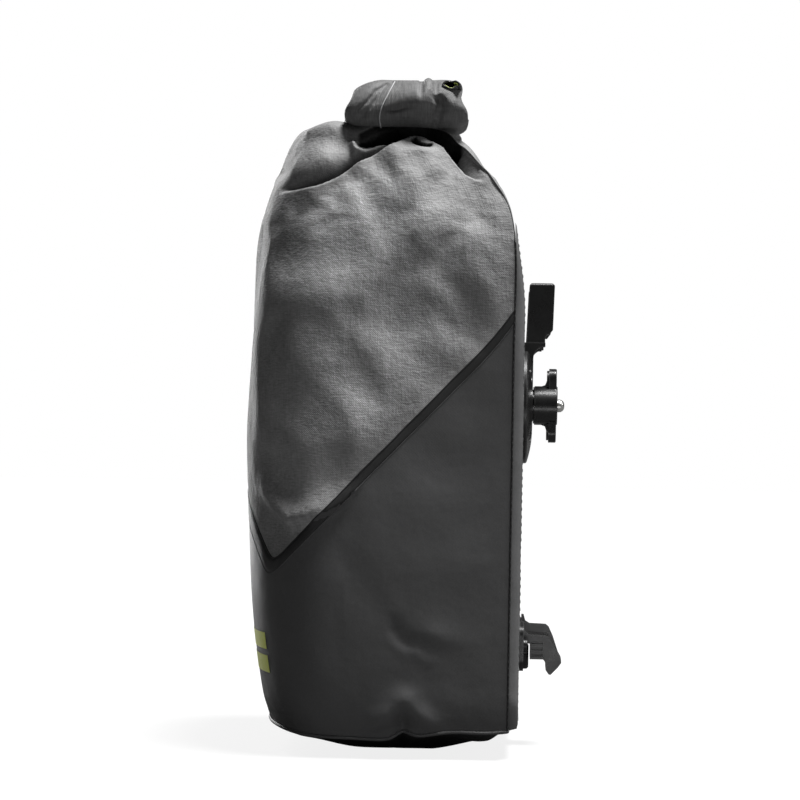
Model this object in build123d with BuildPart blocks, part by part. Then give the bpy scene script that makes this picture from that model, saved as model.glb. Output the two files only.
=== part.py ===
"""Roll-top pannier bag for a bicycle rack, with two rail hooks, lock knobs and a lower claw.

Axes: +X along the bicycle, +Y towards the rack, +Z up. The origin is the middle of the box
round the whole bag, on the surface that it stands on. Millimetres.
"""

import math
import os
from typing import NamedTuple

from build123d import *

os.makedirs("parts", exist_ok=True)

# ---- driving dimensions -------------------------------------------------------------------

FABRIC = 1.2  # coated fabric wall
BOARD_BACK = 69.0  # where the fabric body ends and the back board begins
BOARD_FACE = 75.5  # rack side of the back board
HOOK_SPACING = 120.0  # between the two rail hooks
STUD_HEIGHT = 220.0
TUBE = 10.0  # rack tube that the hooks and the claw take

ROLL_BOTTOM = 392.0
ROLL_HEIGHT = 30.0
ROLL_HALF_LENGTH = 103.5
ROLL_THICKNESS = 12.5
ROLL_BACK = 36.0
ROLL_FRONT = -44.0
ROLL_END = 51.0  # where each turned-back end of the roll stops


class Station(NamedTuple):
    """One horizontal outline of the stuffed bag."""

    height: float
    half_width: float
    back_half_width: float
    front: float
    back: float


BASE_PATCH = Station(0.0, 62.0, 58.0, -50.0, 38.0)  # what the soft base stands on
BODY = [
    Station(12.0, 100.0, 97.0, -84.0, 69.0),
    Station(40.0, 108.0, 101.0, -91.5, 69.0),
    Station(95.0, 117.0, 106.0, -98.8, 69.0),
    Station(170.0, 124.0, 112.0, -103.5, 69.0),
    Station(250.0, 125.0, 117.0, -101.5, 69.0),
    Station(315.0, 121.0, 118.0, -97.2, 69.0),
    Station(345.0, 116.0, 113.0, -92.0, 64.0),
    Station(368.0, 109.0, 106.0, -85.0, 55.0),
    Station(384.0, 100.0, 97.0, -75.0, 42.0),
    Station(ROLL_BOTTOM, 92.0, 88.0, -62.0, 26.0),
]
FRONT_DEPTH = 60.0  # from the crown of the front back to where the sides begin
FRONT_POWER = 2.5  # 2 is an ellipse, more is squarer

# The welded seam between the dark lower fabric and the upper fabric, seen from the side.
SEAM_AT_BACK = (BOARD_BACK, 273.4)
SEAM_CORNER = (-80.0, 118.4)
SEAM_AT_FRONT = (-103.7, 174.7)
SEAM_CORNER_RADIUS = 8.0

LEFT = -HOOK_SPACING / 2
RIGHT = HOOK_SPACING / 2
SIDES = {"left": LEFT, "right": RIGHT}

# ---- hooks, studs and knobs, measured out from the board ----------------------------------

PUCK_RADIUS = 36.5
PUCK_FACE = BOARD_FACE + 5.7
SADDLE_TOP = 257.0  # underside of the shelf that hangs on the rail
SADDLE_RADIUS = 7.5
SHELF_TIP = 88.6
SHELF_THICKNESS = 2.4
SHELF_TOP = SADDLE_TOP + SHELF_THICKNESS
HOOK_HALF_WIDTH = 14.0

STUD_RADIUS = 4.0
STUD_HOLE = 4.15
STUD_TIP = 101.2
KNOB_INNER = PUCK_FACE + 1.2
KNOB_OUTER = 96.8
KNOB_RADIUS = 12.2
WING_INNER = KNOB_INNER + TUBE - 1.0
WING_SPAN = 23.2
KNOB_BORE = 4.08

PUCK_SCREW_CIRCLE = 27.0
SCREW_RADIUS = 2.0
SCREW_HOLE = 2.15

SHEET_BACK = BOARD_BACK - FABRIC - 0.6
SHEET_FRONT = SHEET_BACK - 2.2

# ---- handle anchors and strap --------------------------------------------------------------

ANCHOR_TOP = 296.7
ANCHOR_NOSE_BOTTOM = 264.6
ANCHOR_HALF_WIDTH = 11.0
ANCHOR_INNER = 77.6
ANCHOR_OUTER = 94.0
STRAP_MIDDLE = 86.4
STRAP_WIDTH = 25.0
STRAP_PLY = 1.8
PIN_RADIUS = 2.0
PIN_INSET = 2.0  # how far the pin stands towards the other anchor from the stud

# ---- lower claw ---------------------------------------------------------------------------

CLAW_HALF_WIDTH = 15.0
CLAW_PLATE_HALF = 42.0
CLAW_PLATE = 2.6
CLAW_GAP = 0.2  # running clearance between the plate and the board
CLAW_PLATE_BOTTOM = 50.6
CLAW_PLATE_TOP = 80.0
CLAW_SCREW_X = 28.4
CLAW_SCREW_HEIGHT = 66.0
CLAW_SLOT_TRAVEL = 8.0
CLAW_SCREW_RADIUS = 2.5
BUMPER_RADIUS = 8.4
BUMPER_HEIGHT = 57.4
BUMPER_FACE = 81.8

# ---- closure buckle -----------------------------------------------------------------------

BUCKLE_Y = (ROLL_BACK + ROLL_FRONT) / 2
BUCKLE_Z = ROLL_BOTTOM + ROLL_HEIGHT - ROLL_THICKNESS / 2
BUCKLE_WIDTH = 34.0
BUCKLE_THICKNESS = 9.0
BUCKLE_MOUTH = 7.0
BUCKLE_TAIL = -26.0
THROAT_HALF = 13.0
CAVITY_THICKNESS = 5.0
WEB_WIDTH = 25.0
WEB_BAR = 1.5
WEB_LOOP = 2.7
LEFT_BAR = -33.2
RIGHT_BAR = 18.2
PRONG_THICKNESS = 4.2
PRONG_WIDTH = 3.4
PRONG_OFFSET = 10.2
PRONG_ROOT = 5.2
PRONG_REACH = 24.0


def save(part, label):
    """Writes one finished piece as its own STEP file."""
    part.label = label
    export_step(part, f"parts/{label}.step")


def rack_plane(y):
    """Upright plane at depth y: local x is X, local y is Z, and extrusions run to the bag."""
    return Plane.XZ.offset(-y)


# ---- fabric body --------------------------------------------------------------------------


def outline(station, inset=0.0, height=None):
    """Horizontal outline: flat back, bowed sides and a rounded front."""
    side = station.half_width - inset
    back_half = station.back_half_width - inset
    front = station.front + inset
    back = station.back - inset
    corner = front + FRONT_DEPTH * (back - front) / (BODY[3].back - BODY[3].front)
    power = 2 / FRONT_POWER
    bow = []
    for step in range(9):
        angle = math.pi * step / 8
        across = side * math.copysign(abs(math.cos(angle)) ** power, math.cos(angle))
        bow.append((across, corner - (corner - front) * math.sin(angle) ** power))
    points = [(back_half, back), *bow, (-back_half, back)]
    side_slope = (side - back_half, corner - back)
    with BuildSketch(Plane.XY.offset(station.height if height is None else height)) as face:
        with BuildLine():
            Spline(*points, tangents=(side_slope, (side_slope[0], -side_slope[1])))
            Line(points[-1], points[0])
        make_face()
    return face.sketch


def body_shell():
    """The whole fabric wall above the base, open at the bottom."""
    with BuildPart() as shell:
        loft([outline(s) for s in BODY])
        inner = [outline(BODY[0], FABRIC, BODY[0].height - 1)]
        inner += [outline(s, FABRIC) for s in BODY[1:-1]]
        inner.append(outline(BODY[-1], FABRIC, ROLL_BOTTOM - FABRIC))
        loft(inner, mode=Mode.SUBTRACT)
        with BuildSketch(Plane.XY.offset(BODY[0].height)):
            with Locations((0, BOARD_BACK - 150)):
                Rectangle(300, 300)
        extrude(amount=ROLL_BOTTOM, mode=Mode.INTERSECT)
    return shell.part


def below_seam():
    """Everything under the seam, as one long prism across the bag."""
    slope = (SEAM_AT_BACK[1] - SEAM_CORNER[1]) / (SEAM_AT_BACK[0] - SEAM_CORNER[0])
    rise = (SEAM_AT_FRONT[1] - SEAM_CORNER[1]) / (SEAM_AT_FRONT[0] - SEAM_CORNER[0])
    past_back = (SEAM_AT_BACK[0] + 20, SEAM_AT_BACK[1] + 20 * slope)
    past_front = (SEAM_AT_FRONT[0] - 15, SEAM_AT_FRONT[1] - 15 * rise)
    with BuildPart() as prism:
        with BuildSketch(Plane.YZ):
            with BuildLine():
                top = FilletPolyline(past_back, SEAM_CORNER, past_front, radius=SEAM_CORNER_RADIUS)
                Polyline(top @ 1, (past_front[0], -5), (past_back[0], -5), top @ 0)
            make_face()
        extrude(amount=150, both=True)
    return prism.part


def stud_points():
    return [(x, STUD_HEIGHT) for x in SIDES.values()]


def puck_screw_points():
    """Four screws round each stud."""
    reach = PUCK_SCREW_CIRCLE * math.sqrt(0.5)
    return [
        (x + a * reach, STUD_HEIGHT + b * reach)
        for x in SIDES.values()
        for a in (-1, 1)
        for b in (-1, 1)
    ]


def claw_screw_points():
    return [(-CLAW_SCREW_X, CLAW_SCREW_HEIGHT), (CLAW_SCREW_X, CLAW_SCREW_HEIGHT)]


def back_holes(face):
    """The clearance holes that studs and screws take through the bag's back."""
    with BuildPart() as holes:
        with BuildSketch(rack_plane(face + 1)):
            with Locations(*stud_points()):
                Circle(STUD_HOLE)
            with Locations(*puck_screw_points()):
                Circle(SCREW_HOLE)
            with Locations(*claw_screw_points()):
                Circle(CLAW_SCREW_RADIUS + 0.15)
        extrude(amount=12)
    return holes.part


def upper_shell(shell, prism):
    with BuildPart() as upper:
        add(shell)
        add(prism, mode=Mode.SUBTRACT)
    return upper.part


def lower_shell(shell, prism):
    with BuildPart() as lower:
        add(shell)
        add(prism, mode=Mode.INTERSECT)
        add(back_holes(BOARD_BACK), mode=Mode.SUBTRACT)
    return lower.part


def base_panel():
    """Soft base: a shallow dish that sags to a flat patch."""
    with BuildPart() as base:
        loft([outline(BASE_PATCH), outline(BODY[0])], ruled=True)
        loft(
            [outline(BASE_PATCH, FABRIC, 1.5), outline(BODY[0], 3 * FABRIC, BODY[0].height + 0.5)],
            ruled=True,
            mode=Mode.SUBTRACT,
        )
    return base.part


def panel(face, inset, bottom, top, corner):
    """Trapezoid that follows the bag's back, inset from its edges, with round corners."""
    low, high = BODY[0], BODY[5]
    taper = (high.back_half_width - low.back_half_width) / (high.height - low.height)
    at_bottom = low.back_half_width - inset + taper * (bottom - low.height)
    at_top = low.back_half_width - inset + taper * (top - low.height)
    corners = [(-at_bottom, bottom), (at_bottom, bottom), (at_top, top), (-at_top, top)]
    with BuildSketch(rack_plane(face)) as sketch:
        with BuildLine():
            Polyline(*corners, close=True)
        make_face()
        fillet(sketch.vertices(), corner)
    return sketch.sketch


def back_board():
    """Fabric-covered board on the rack side, with a soft rounded rim."""
    with BuildPart() as board:
        outline_face = panel(BOARD_FACE, inset=0.0, bottom=16.0, top=319.0, corner=24.0)
        extrude(outline_face, amount=BOARD_FACE - BOARD_BACK)
        fillet(board.faces().sort_by(Axis.Y)[-1].outer_wire().edges(), 2.5)
        add(back_holes(BOARD_FACE), mode=Mode.SUBTRACT)
    return board.part


def stiffener_sheet():
    """Plastic sheet inside the bag that spreads the load of the studs."""
    with BuildPart() as sheet:
        outline_face = panel(SHEET_BACK, inset=12.0, bottom=30.0, top=282.0, corner=20.0)
        extrude(outline_face, amount=SHEET_BACK - SHEET_FRONT)
        add(back_holes(SHEET_BACK), mode=Mode.SUBTRACT)
    return sheet.part


# ---- roll-top -----------------------------------------------------------------------------


def roll_ring(depth_out, depth_in):
    """Upright C of the roll between two depths from its outer face, open at the top."""
    centre = ROLL_BOTTOM + ROLL_HEIGHT / 2
    with Locations((0, centre)):
        SlotOverall(2 * (ROLL_HALF_LENGTH - depth_out), ROLL_HEIGHT - 2 * depth_out)
        SlotOverall(2 * (ROLL_HALF_LENGTH - depth_in), ROLL_HEIGHT - 2 * depth_in, mode=Mode.SUBTRACT)


def roll_gap(half):
    """Cuts the gap between the two ends out of the C."""
    with Locations((0, ROLL_BOTTOM + ROLL_HEIGHT)):
        Rectangle(2 * half, ROLL_HEIGHT, mode=Mode.SUBTRACT)


def roll_top():
    """The mouth of the bag, rolled flat, with both ends turned back over the top."""
    pocket = 1.6
    middle = ROLL_THICKNESS / 2
    with BuildPart() as roll:
        with BuildSketch(rack_plane(ROLL_BACK)):
            roll_ring(0, ROLL_THICKNESS)
            roll_gap(ROLL_END)
        extrude(amount=ROLL_BACK - ROLL_FRONT)
        fillet(roll.edges().filter_by(Axis.X).group_by(Axis.Z)[0], 3.0)
        with BuildSketch(rack_plane(BUCKLE_Y + 13)):
            roll_ring(middle - pocket / 2, middle + pocket / 2)
            roll_gap(ROLL_END + 14)
        extrude(amount=26, mode=Mode.SUBTRACT)
        for side in (-1, 1):
            with Locations((side * (ROLL_END + 6), BUCKLE_Y, BUCKLE_Z)):
                Box(12, WEB_WIDTH + 0.6, 2 * WEB_LOOP + 0.2, mode=Mode.SUBTRACT)
    return roll.part


def lip_stiffener():
    """Flexible strip sewn in the lip, which keeps the roll flat."""
    middle = ROLL_THICKNESS / 2
    with BuildPart() as strip:
        with BuildSketch(rack_plane(BUCKLE_Y + 12.5)):
            roll_ring(middle - 0.6, middle + 0.6)
            roll_gap(ROLL_END + 15)
        extrude(amount=25)
    return strip.part


# ---- closure buckle -----------------------------------------------------------------------


def webbing(bar_x, end_x):
    """Two plies of webbing from inside the roll's end, looped round a buckle bar."""
    length = abs(end_x - bar_x) + 2 * WEB_LOOP
    with BuildPart() as web:
        with BuildSketch(rack_plane(BUCKLE_Y + WEB_WIDTH / 2)):
            with Locations(((bar_x + end_x) / 2, BUCKLE_Z)):
                SlotOverall(length, 2 * WEB_LOOP)
            with Locations((bar_x, BUCKLE_Z)):
                Circle(WEB_BAR + 0.1, mode=Mode.SUBTRACT)
        extrude(amount=WEB_WIDTH)
    return web.part


def web_loop(bar_x, body_x):
    """Inside a BuildPart: two side arms and a round bar for the webbing."""
    arm = (BUCKLE_WIDTH - WEB_WIDTH - 0.8) / 2
    tip = bar_x + math.copysign(2.8, bar_x - body_x)
    for side in (-1, 1):
        with Locations(((tip + body_x) / 2, BUCKLE_Y + side * (BUCKLE_WIDTH - arm) / 2, BUCKLE_Z)):
            Box(abs(tip - body_x), arm, BUCKLE_THICKNESS - 2)
    with Locations((bar_x, BUCKLE_Y, BUCKLE_Z)):
        Cylinder(WEB_BAR, BUCKLE_WIDTH - 1, rotation=(90, 0, 0))


def buckle_socket():
    """Female half: a flat box with a throat and two side windows."""
    length = BUCKLE_MOUTH - BUCKLE_TAIL
    with BuildPart() as socket:
        with Locations(((BUCKLE_MOUTH + BUCKLE_TAIL) / 2, BUCKLE_Y, BUCKLE_Z)):
            Box(length, BUCKLE_WIDTH, BUCKLE_THICKNESS)
        fillet(socket.edges().filter_by(Axis.X), 2.4)
        with Locations((BUCKLE_TAIL + 4 + length / 2, BUCKLE_Y, BUCKLE_Z)):
            Box(length, 2 * THROAT_HALF, CAVITY_THICKNESS, mode=Mode.SUBTRACT)
        with Locations((BUCKLE_MOUTH - 20.5, BUCKLE_Y, BUCKLE_Z)):
            Box(13, BUCKLE_WIDTH + 2, CAVITY_THICKNESS, mode=Mode.SUBTRACT)
        web_loop(LEFT_BAR, BUCKLE_TAIL)
    return socket.part


def buckle_tongue():
    """Male half without its prongs: web bar, shoulder and centre guide."""
    base_start, base_end = BUCKLE_MOUTH + 0.4, BUCKLE_MOUTH + 6
    with BuildPart() as tongue:
        with Locations(((base_start + base_end) / 2, BUCKLE_Y, BUCKLE_Z)):
            Box(base_end - base_start, BUCKLE_WIDTH, BUCKLE_THICKNESS - 1)
        fillet(tongue.edges().filter_by(Axis.X), 2.4)
        with Locations(((base_start + BUCKLE_TAIL + 6) / 2, BUCKLE_Y, BUCKLE_Z)):
            Box(base_start - BUCKLE_TAIL - 6, 5.5, PRONG_THICKNESS)
        web_loop(RIGHT_BAR, base_end)
    return tongue.part


def buckle_prong(side):
    """One springy arm of the male half, with a barb that sits in the socket's window."""
    root = PRONG_ROOT
    barb_start, barb_end = BUCKLE_MOUTH - 14.4, BUCKLE_MOUTH - 25.5
    inner = PRONG_OFFSET - PRONG_WIDTH / 2
    outer = PRONG_OFFSET + PRONG_WIDTH / 2
    flush = BUCKLE_WIDTH / 2 - 0.1
    shape = [
        (root, inner),
        (root, outer),
        (barb_start, outer),
        (barb_start - 0.4, flush),
        (barb_start - 6, flush),
        (barb_end, outer - 1),
        (barb_end, inner + 0.6),
    ]
    with BuildPart() as prong:
        with BuildSketch(Plane.XY.offset(BUCKLE_Z - PRONG_THICKNESS / 2)):
            with BuildLine():
                Polyline(*[(x, BUCKLE_Y + side * y) for x, y in shape], close=True)
            make_face()
            with Locations((root, BUCKLE_Y + side * PRONG_OFFSET)):
                Circle(PRONG_WIDTH / 2)
        extrude(amount=PRONG_THICKNESS)
    return prong.part


# ---- rail hooks ---------------------------------------------------------------------------


def hook_puck(x):
    """Round domed hook plate with the shelf that hangs on the rail."""
    axis = Axis((x, 0, STUD_HEIGHT), (0, 1, 0))
    with BuildPart() as puck:
        with BuildSketch(Plane.YZ.offset(x)):
            with BuildLine():
                rim = (BOARD_FACE + 2.6, STUD_HEIGHT + PUCK_RADIUS - 0.8)
                Polyline(
                    (PUCK_FACE, STUD_HEIGHT + 14),
                    (PUCK_FACE, STUD_HEIGHT),
                    (BOARD_FACE, STUD_HEIGHT),
                    (BOARD_FACE, STUD_HEIGHT + PUCK_RADIUS),
                    (BOARD_FACE + 1.8, STUD_HEIGHT + PUCK_RADIUS),
                    rim,
                )
                ThreePointArc(rim, (BOARD_FACE + 4.7, STUD_HEIGHT + 27), (PUCK_FACE, STUD_HEIGHT + 14))
            make_face()
        revolve(axis=axis)
        with BuildSketch(Plane.YZ.offset(x - HOOK_HALF_WIDTH)):
            with BuildLine():
                Polyline(
                    (PUCK_FACE, SADDLE_TOP - SADDLE_RADIUS),
                    (PUCK_FACE, STUD_HEIGHT),
                    (BOARD_FACE, STUD_HEIGHT),
                    (BOARD_FACE, SHELF_TOP),
                    (SHELF_TIP, SHELF_TOP),
                    (SHELF_TIP, SADDLE_TOP),
                )
                RadiusArc(
                    (SHELF_TIP, SADDLE_TOP), (PUCK_FACE, SADDLE_TOP - SADDLE_RADIUS), -SADDLE_RADIUS
                )
            make_face()
        extrude(amount=2 * HOOK_HALF_WIDTH)
        with BuildSketch(rack_plane(PUCK_FACE + 1)):
            with Locations((x, STUD_HEIGHT)):
                Circle(STUD_HOLE)
                with PolarLocations(PUCK_SCREW_CIRCLE, 4, start_angle=45):
                    Circle(SCREW_HOLE)
        extrude(amount=10, mode=Mode.SUBTRACT)
        with BuildSketch(rack_plane(PUCK_FACE + 1)):
            with Locations((x, STUD_HEIGHT)), PolarLocations(PUCK_SCREW_CIRCLE, 4, start_angle=45):
                Circle(4.2)
        extrude(amount=1 + PUCK_FACE - BOARD_FACE - 2.4, mode=Mode.SUBTRACT)
        with BuildSketch(Plane.XY.offset(SADDLE_TOP - SADDLE_RADIUS)):
            with Locations(*anchor_screw_points(x)):
                Circle(3.0)
        extrude(amount=SADDLE_RADIUS + 0.7, mode=Mode.SUBTRACT)
        with BuildSketch(Plane.XY.offset(SADDLE_TOP)):
            with Locations(*anchor_screw_points(x)):
                Circle(1.65)
        extrude(amount=5, mode=Mode.SUBTRACT)
    return puck.part


def puck_screws():
    """Eight pan-head screws that hold the hook plates to the board and the inner sheet."""
    seat = BOARD_FACE + 2.4
    with BuildPart() as screws:
        with BuildSketch(rack_plane(seat)):
            with Locations(*puck_screw_points()):
                Circle(SCREW_RADIUS)
        extrude(amount=seat - SHEET_FRONT + 5)
        with BuildSketch(rack_plane(seat + 1.9)):
            with Locations(*puck_screw_points()):
                Circle(3.7)
                RegularPolygon(1.25, 6, mode=Mode.SUBTRACT)
        extrude(amount=1.9)
        with BuildSketch(rack_plane(seat + 0.9)):
            with Locations(*puck_screw_points()):
                Circle(3.0)
        extrude(amount=0.9)
    return screws.part


def nuts(points, bore, across_flats, thickness):
    """Hexagon nuts on the inner face of the sheet, one solid each."""
    with BuildPart() as nut:
        with BuildSketch(rack_plane(SHEET_FRONT)):
            with Locations(*points):
                RegularPolygon(across_flats / 2, 6, major_radius=False)
                Circle(bore, mode=Mode.SUBTRACT)
        extrude(amount=thickness)
    return nut.part


def stud(x):
    """Coach bolt: domed head inside the bag, shank through it, round tip beyond the knob."""
    head_seat = SHEET_FRONT - 1.6
    with BuildPart() as bolt:
        with BuildSketch(Plane.YZ.offset(x)):
            with BuildLine():
                Polyline(
                    (STUD_TIP, STUD_HEIGHT),
                    (head_seat - 3.6, STUD_HEIGHT),
                    (head_seat - 3.6, STUD_HEIGHT + 4),
                    (head_seat - 1.4, STUD_HEIGHT + 7.8),
                    (head_seat, STUD_HEIGHT + 8.6),
                    (head_seat, STUD_HEIGHT + STUD_RADIUS),
                    (STUD_TIP, STUD_HEIGHT + STUD_RADIUS),
                    close=True,
                )
            make_face()
        revolve(axis=Axis((x, 0, STUD_HEIGHT), (0, 1, 0)))
        fillet(bolt.edges().group_by(Axis.Y)[-1], 3.2)
    return bolt.part


def washer(x, outer_face, thickness, inner, outer):
    with BuildPart() as ring:
        with BuildSketch(rack_plane(outer_face)):
            with Locations((x, STUD_HEIGHT)):
                Circle(outer)
                Circle(inner, mode=Mode.SUBTRACT)
        extrude(amount=thickness)
    return ring.part


def lock_knob(x):
    """Wing knob: a round hub and two wings that stand behind the rail."""
    with BuildPart() as knob:
        with BuildSketch(rack_plane(KNOB_OUTER - 0.6)):
            with Locations((x, STUD_HEIGHT)):
                SlotOverall(2 * WING_SPAN, 13, rotation=90)
        extrude(amount=KNOB_OUTER - 0.6 - WING_INNER)
        fillet(knob.edges().group_by(Axis.Y)[-1], 0.8)
        with BuildSketch(Plane.YZ.offset(x - 3)):
            for up in (-1, 1):
                with BuildLine():
                    Polyline(
                        (WING_INNER + 0.5, STUD_HEIGHT + up * (KNOB_RADIUS - 1)),
                        (WING_INNER - 4.5, STUD_HEIGHT + up * (KNOB_RADIUS - 1)),
                        (WING_INNER - 4.5, STUD_HEIGHT + up * KNOB_RADIUS),
                        (WING_INNER - 1.2, STUD_HEIGHT + up * (KNOB_RADIUS + 1.2)),
                        (WING_INNER, STUD_HEIGHT + up * (KNOB_RADIUS + 4.5)),
                        (WING_INNER + 0.5, STUD_HEIGHT + up * (KNOB_RADIUS + 4.5)),
                        close=True,
                    )
                make_face()
        extrude(amount=6)
        with BuildSketch(rack_plane(KNOB_OUTER)):
            with Locations((x, STUD_HEIGHT)):
                Circle(KNOB_RADIUS)
        extrude(amount=KNOB_OUTER - KNOB_INNER)
        chamfer(knob.edges().group_by(Axis.Y)[-1], 0.5)
        with BuildSketch(rack_plane(KNOB_OUTER + 1)):
            with Locations((x, STUD_HEIGHT)):
                Circle(6.0)
        extrude(amount=20, mode=Mode.SUBTRACT)
    return knob.part


def knob_insert(x):
    """Brass threaded insert moulded into the knob."""
    with BuildPart() as insert:
        with BuildSketch(rack_plane(KNOB_OUTER - 0.4)):
            with Locations((x, STUD_HEIGHT)):
                Circle(6.0)
                Circle(KNOB_BORE, mode=Mode.SUBTRACT)
        extrude(amount=KNOB_OUTER - 0.4 - KNOB_INNER)
    return insert.part


# ---- handle -------------------------------------------------------------------------------


def anchor_screw_points(x):
    return [(x - 7, 84.6), (x + 7, 84.6)]


def inward(x):
    """+1 or -1, pointing from a hook to the middle of the bag."""
    return -math.copysign(1, x)


def pin_x(x):
    return x + inward(x) * PIN_INSET


def handle_anchor(x):
    """Block above the shelf that holds one end of the carry strap."""
    pocket_deep = ANCHOR_HALF_WIDTH + 4.5
    with BuildPart() as block:
        with BuildSketch(Plane.YZ.offset(x - ANCHOR_HALF_WIDTH)):
            with BuildLine():
                Polyline(
                    (ANCHOR_INNER - 0.8, SHELF_TOP),
                    (SHELF_TIP - 0.2, SHELF_TOP),
                    (SHELF_TIP - 0.2, ANCHOR_NOSE_BOTTOM - 2),
                    (SHELF_TIP + 1.2, ANCHOR_NOSE_BOTTOM),
                    (ANCHOR_OUTER - 3, ANCHOR_NOSE_BOTTOM),
                    (ANCHOR_OUTER - 0.8, ANCHOR_NOSE_BOTTOM + 3),
                    (ANCHOR_OUTER, ANCHOR_TOP),
                    (ANCHOR_INNER + 0.6, ANCHOR_TOP),
                    close=True,
                )
            make_face()
        extrude(amount=2 * ANCHOR_HALF_WIDTH)
        fillet(block.faces().sort_by(Axis.Z)[-1].edges(), 2.0)
        with Locations((x + inward(x) * pocket_deep / 2, STRAP_MIDDLE, (ANCHOR_TOP + ANCHOR_NOSE_BOTTOM) / 2)):
            Box(pocket_deep + 6, 9, STRAP_WIDTH + 0.6, mode=Mode.SUBTRACT)
        with BuildSketch(Plane.XY.offset(SHELF_TOP)):
            with Locations(*anchor_screw_points(x)):
                Circle(1.5)
        extrude(amount=6, mode=Mode.SUBTRACT)
        with BuildSketch(Plane.XY.offset(ANCHOR_NOSE_BOTTOM + 1.5)):
            with Locations((pin_x(x), STRAP_MIDDLE)):
                Circle(PIN_RADIUS)
        extrude(amount=ANCHOR_TOP - ANCHOR_NOSE_BOTTOM - 3, mode=Mode.SUBTRACT)
    return block.part


def anchor_pins():
    """Steel pins that the ends of the strap are sewn round."""
    with BuildPart() as pins:
        with BuildSketch(Plane.XY.offset(ANCHOR_NOSE_BOTTOM + 1.5)):
            with Locations(*[(pin_x(x), STRAP_MIDDLE) for x in SIDES.values()]):
                Circle(PIN_RADIUS)
        extrude(amount=ANCHOR_TOP - ANCHOR_NOSE_BOTTOM - 3)
    return pins.part


def anchor_screws():
    """Four small screws up through the shelves into the anchors."""
    points = [p for x in SIDES.values() for p in anchor_screw_points(x)]
    with BuildPart() as screws:
        with BuildSketch(Plane.XY.offset(SADDLE_TOP - 0.9)):
            with Locations(*points):
                Circle(2.8)
        extrude(amount=1.6)
        with BuildSketch(Plane.XY.offset(SADDLE_TOP)):
            with Locations(*points):
                Circle(1.5)
        extrude(amount=SHELF_TOP - SADDLE_TOP + 5.4)
    return screws.part


def handle_strap():
    """Two-ply webbing strap between the pins, bowed a little towards the rack."""
    reach = abs(pin_x(RIGHT))
    bow = 3.5
    with BuildPart() as strap:
        with BuildSketch(Plane.XY.offset((ANCHOR_TOP + ANCHOR_NOSE_BOTTOM - STRAP_WIDTH) / 2)):
            with BuildLine():
                lines = {}
                for name, shift in (("near", -STRAP_PLY), ("far", STRAP_PLY)):
                    lines[name] = ThreePointArc(
                        (-reach, STRAP_MIDDLE + shift),
                        (0, STRAP_MIDDLE + bow + shift),
                        (reach, STRAP_MIDDLE + shift),
                    )
                Line(lines["near"] @ 0, lines["far"] @ 0)
                Line(lines["near"] @ 1, lines["far"] @ 1)
            make_face()
            with Locations((-reach, STRAP_MIDDLE), (reach, STRAP_MIDDLE)):
                Circle(PIN_RADIUS + STRAP_PLY)
                Circle(PIN_RADIUS + 0.05, mode=Mode.SUBTRACT)
        extrude(amount=STRAP_WIDTH)
    return strap.part


# ---- lower claw ---------------------------------------------------------------------------


def lower_claw():
    """Moulded claw on a slotted foot, ribbed on both sides."""
    root = BOARD_FACE + CLAW_GAP
    with BuildPart() as claw:
        with BuildSketch(rack_plane(root + CLAW_PLATE)):
            with Locations((0, (CLAW_PLATE_TOP + CLAW_PLATE_BOTTOM) / 2)):
                RectangleRounded(2 * CLAW_PLATE_HALF, CLAW_PLATE_TOP - CLAW_PLATE_BOTTOM, 7)
        extrude(amount=CLAW_PLATE)
        with BuildSketch(Plane.YZ.offset(-CLAW_HALF_WIDTH)):
            with BuildLine():
                Polyline(
                    (root + 1, 81.0),
                    (root + 1, 66.5),
                    (82.6, 66.5),
                    (82.6, 56.4),
                    (91.2, 56.4),
                    (92.6, 54.6),
                    (92.9, 49.6),
                    (94.9, 46.8),
                    (96.2, 46.6),
                    (100.8, 51.4),
                    (102.9, 54.4),
                    (102.8, 56.4),
                    (94.6, 70.9),
                    (92.6, 72.0),
                    (80.8, 72.6),
                    (78.6, 76.6),
                    close=True,
                )
            make_face()
        extrude(amount=2 * CLAW_HALF_WIDTH)
        with BuildSketch(Plane.YZ.offset(-4)):
            with BuildLine():
                Polyline(
                    (root + 1, 84.4), (root + 1, 70), (94, 70), (102, 57), (97.4, 70.6), (94.6, 76.6),
                    (92.6, 78.2), (82.0, 78.6), (79.4, 80.2), (78.2, 84.4), close=True,
                )
            make_face()
        extrude(amount=8)
        for side in (-1, 1):
            for rib in range(3):
                height = 58.2 + 4.0 * rib
                with Locations((side * (CLAW_HALF_WIDTH - 1.5), 87.2, height + 1.1)):
                    Box(3.4, 7.6, 2.2, mode=Mode.SUBTRACT)
        with BuildSketch(rack_plane(root + CLAW_PLATE + 1)):
            with Locations(*claw_screw_points()):
                SlotOverall(2 * (CLAW_SLOT_TRAVEL + CLAW_SCREW_RADIUS + 0.2), 2 * (CLAW_SCREW_RADIUS + 0.2))
        extrude(amount=CLAW_PLATE + 2, mode=Mode.SUBTRACT)
        with BuildSketch(rack_plane(root + CLAW_PLATE + 1)):
            with Locations((0, BUMPER_HEIGHT)):
                Circle(3.0)
        extrude(amount=CLAW_PLATE + 2, mode=Mode.SUBTRACT)
    return claw.part


def claw_bumper():
    """Rubber pad that the rack tube is held against, on a stem through the foot."""
    root = BOARD_FACE + CLAW_GAP
    with BuildPart() as bumper:
        with BuildSketch(rack_plane(BUMPER_FACE)):
            with Locations((0, BUMPER_HEIGHT)):
                Circle(BUMPER_RADIUS)
        extrude(amount=BUMPER_FACE - root - CLAW_PLATE)
        chamfer(bumper.faces().sort_by(Axis.Y)[-1].edges(), 1.2)
        with BuildSketch(rack_plane(root + CLAW_PLATE)):
            with Locations((0, BUMPER_HEIGHT)):
                Circle(3.0)
        extrude(amount=CLAW_PLATE - 0.2)
    return bumper.part


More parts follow.
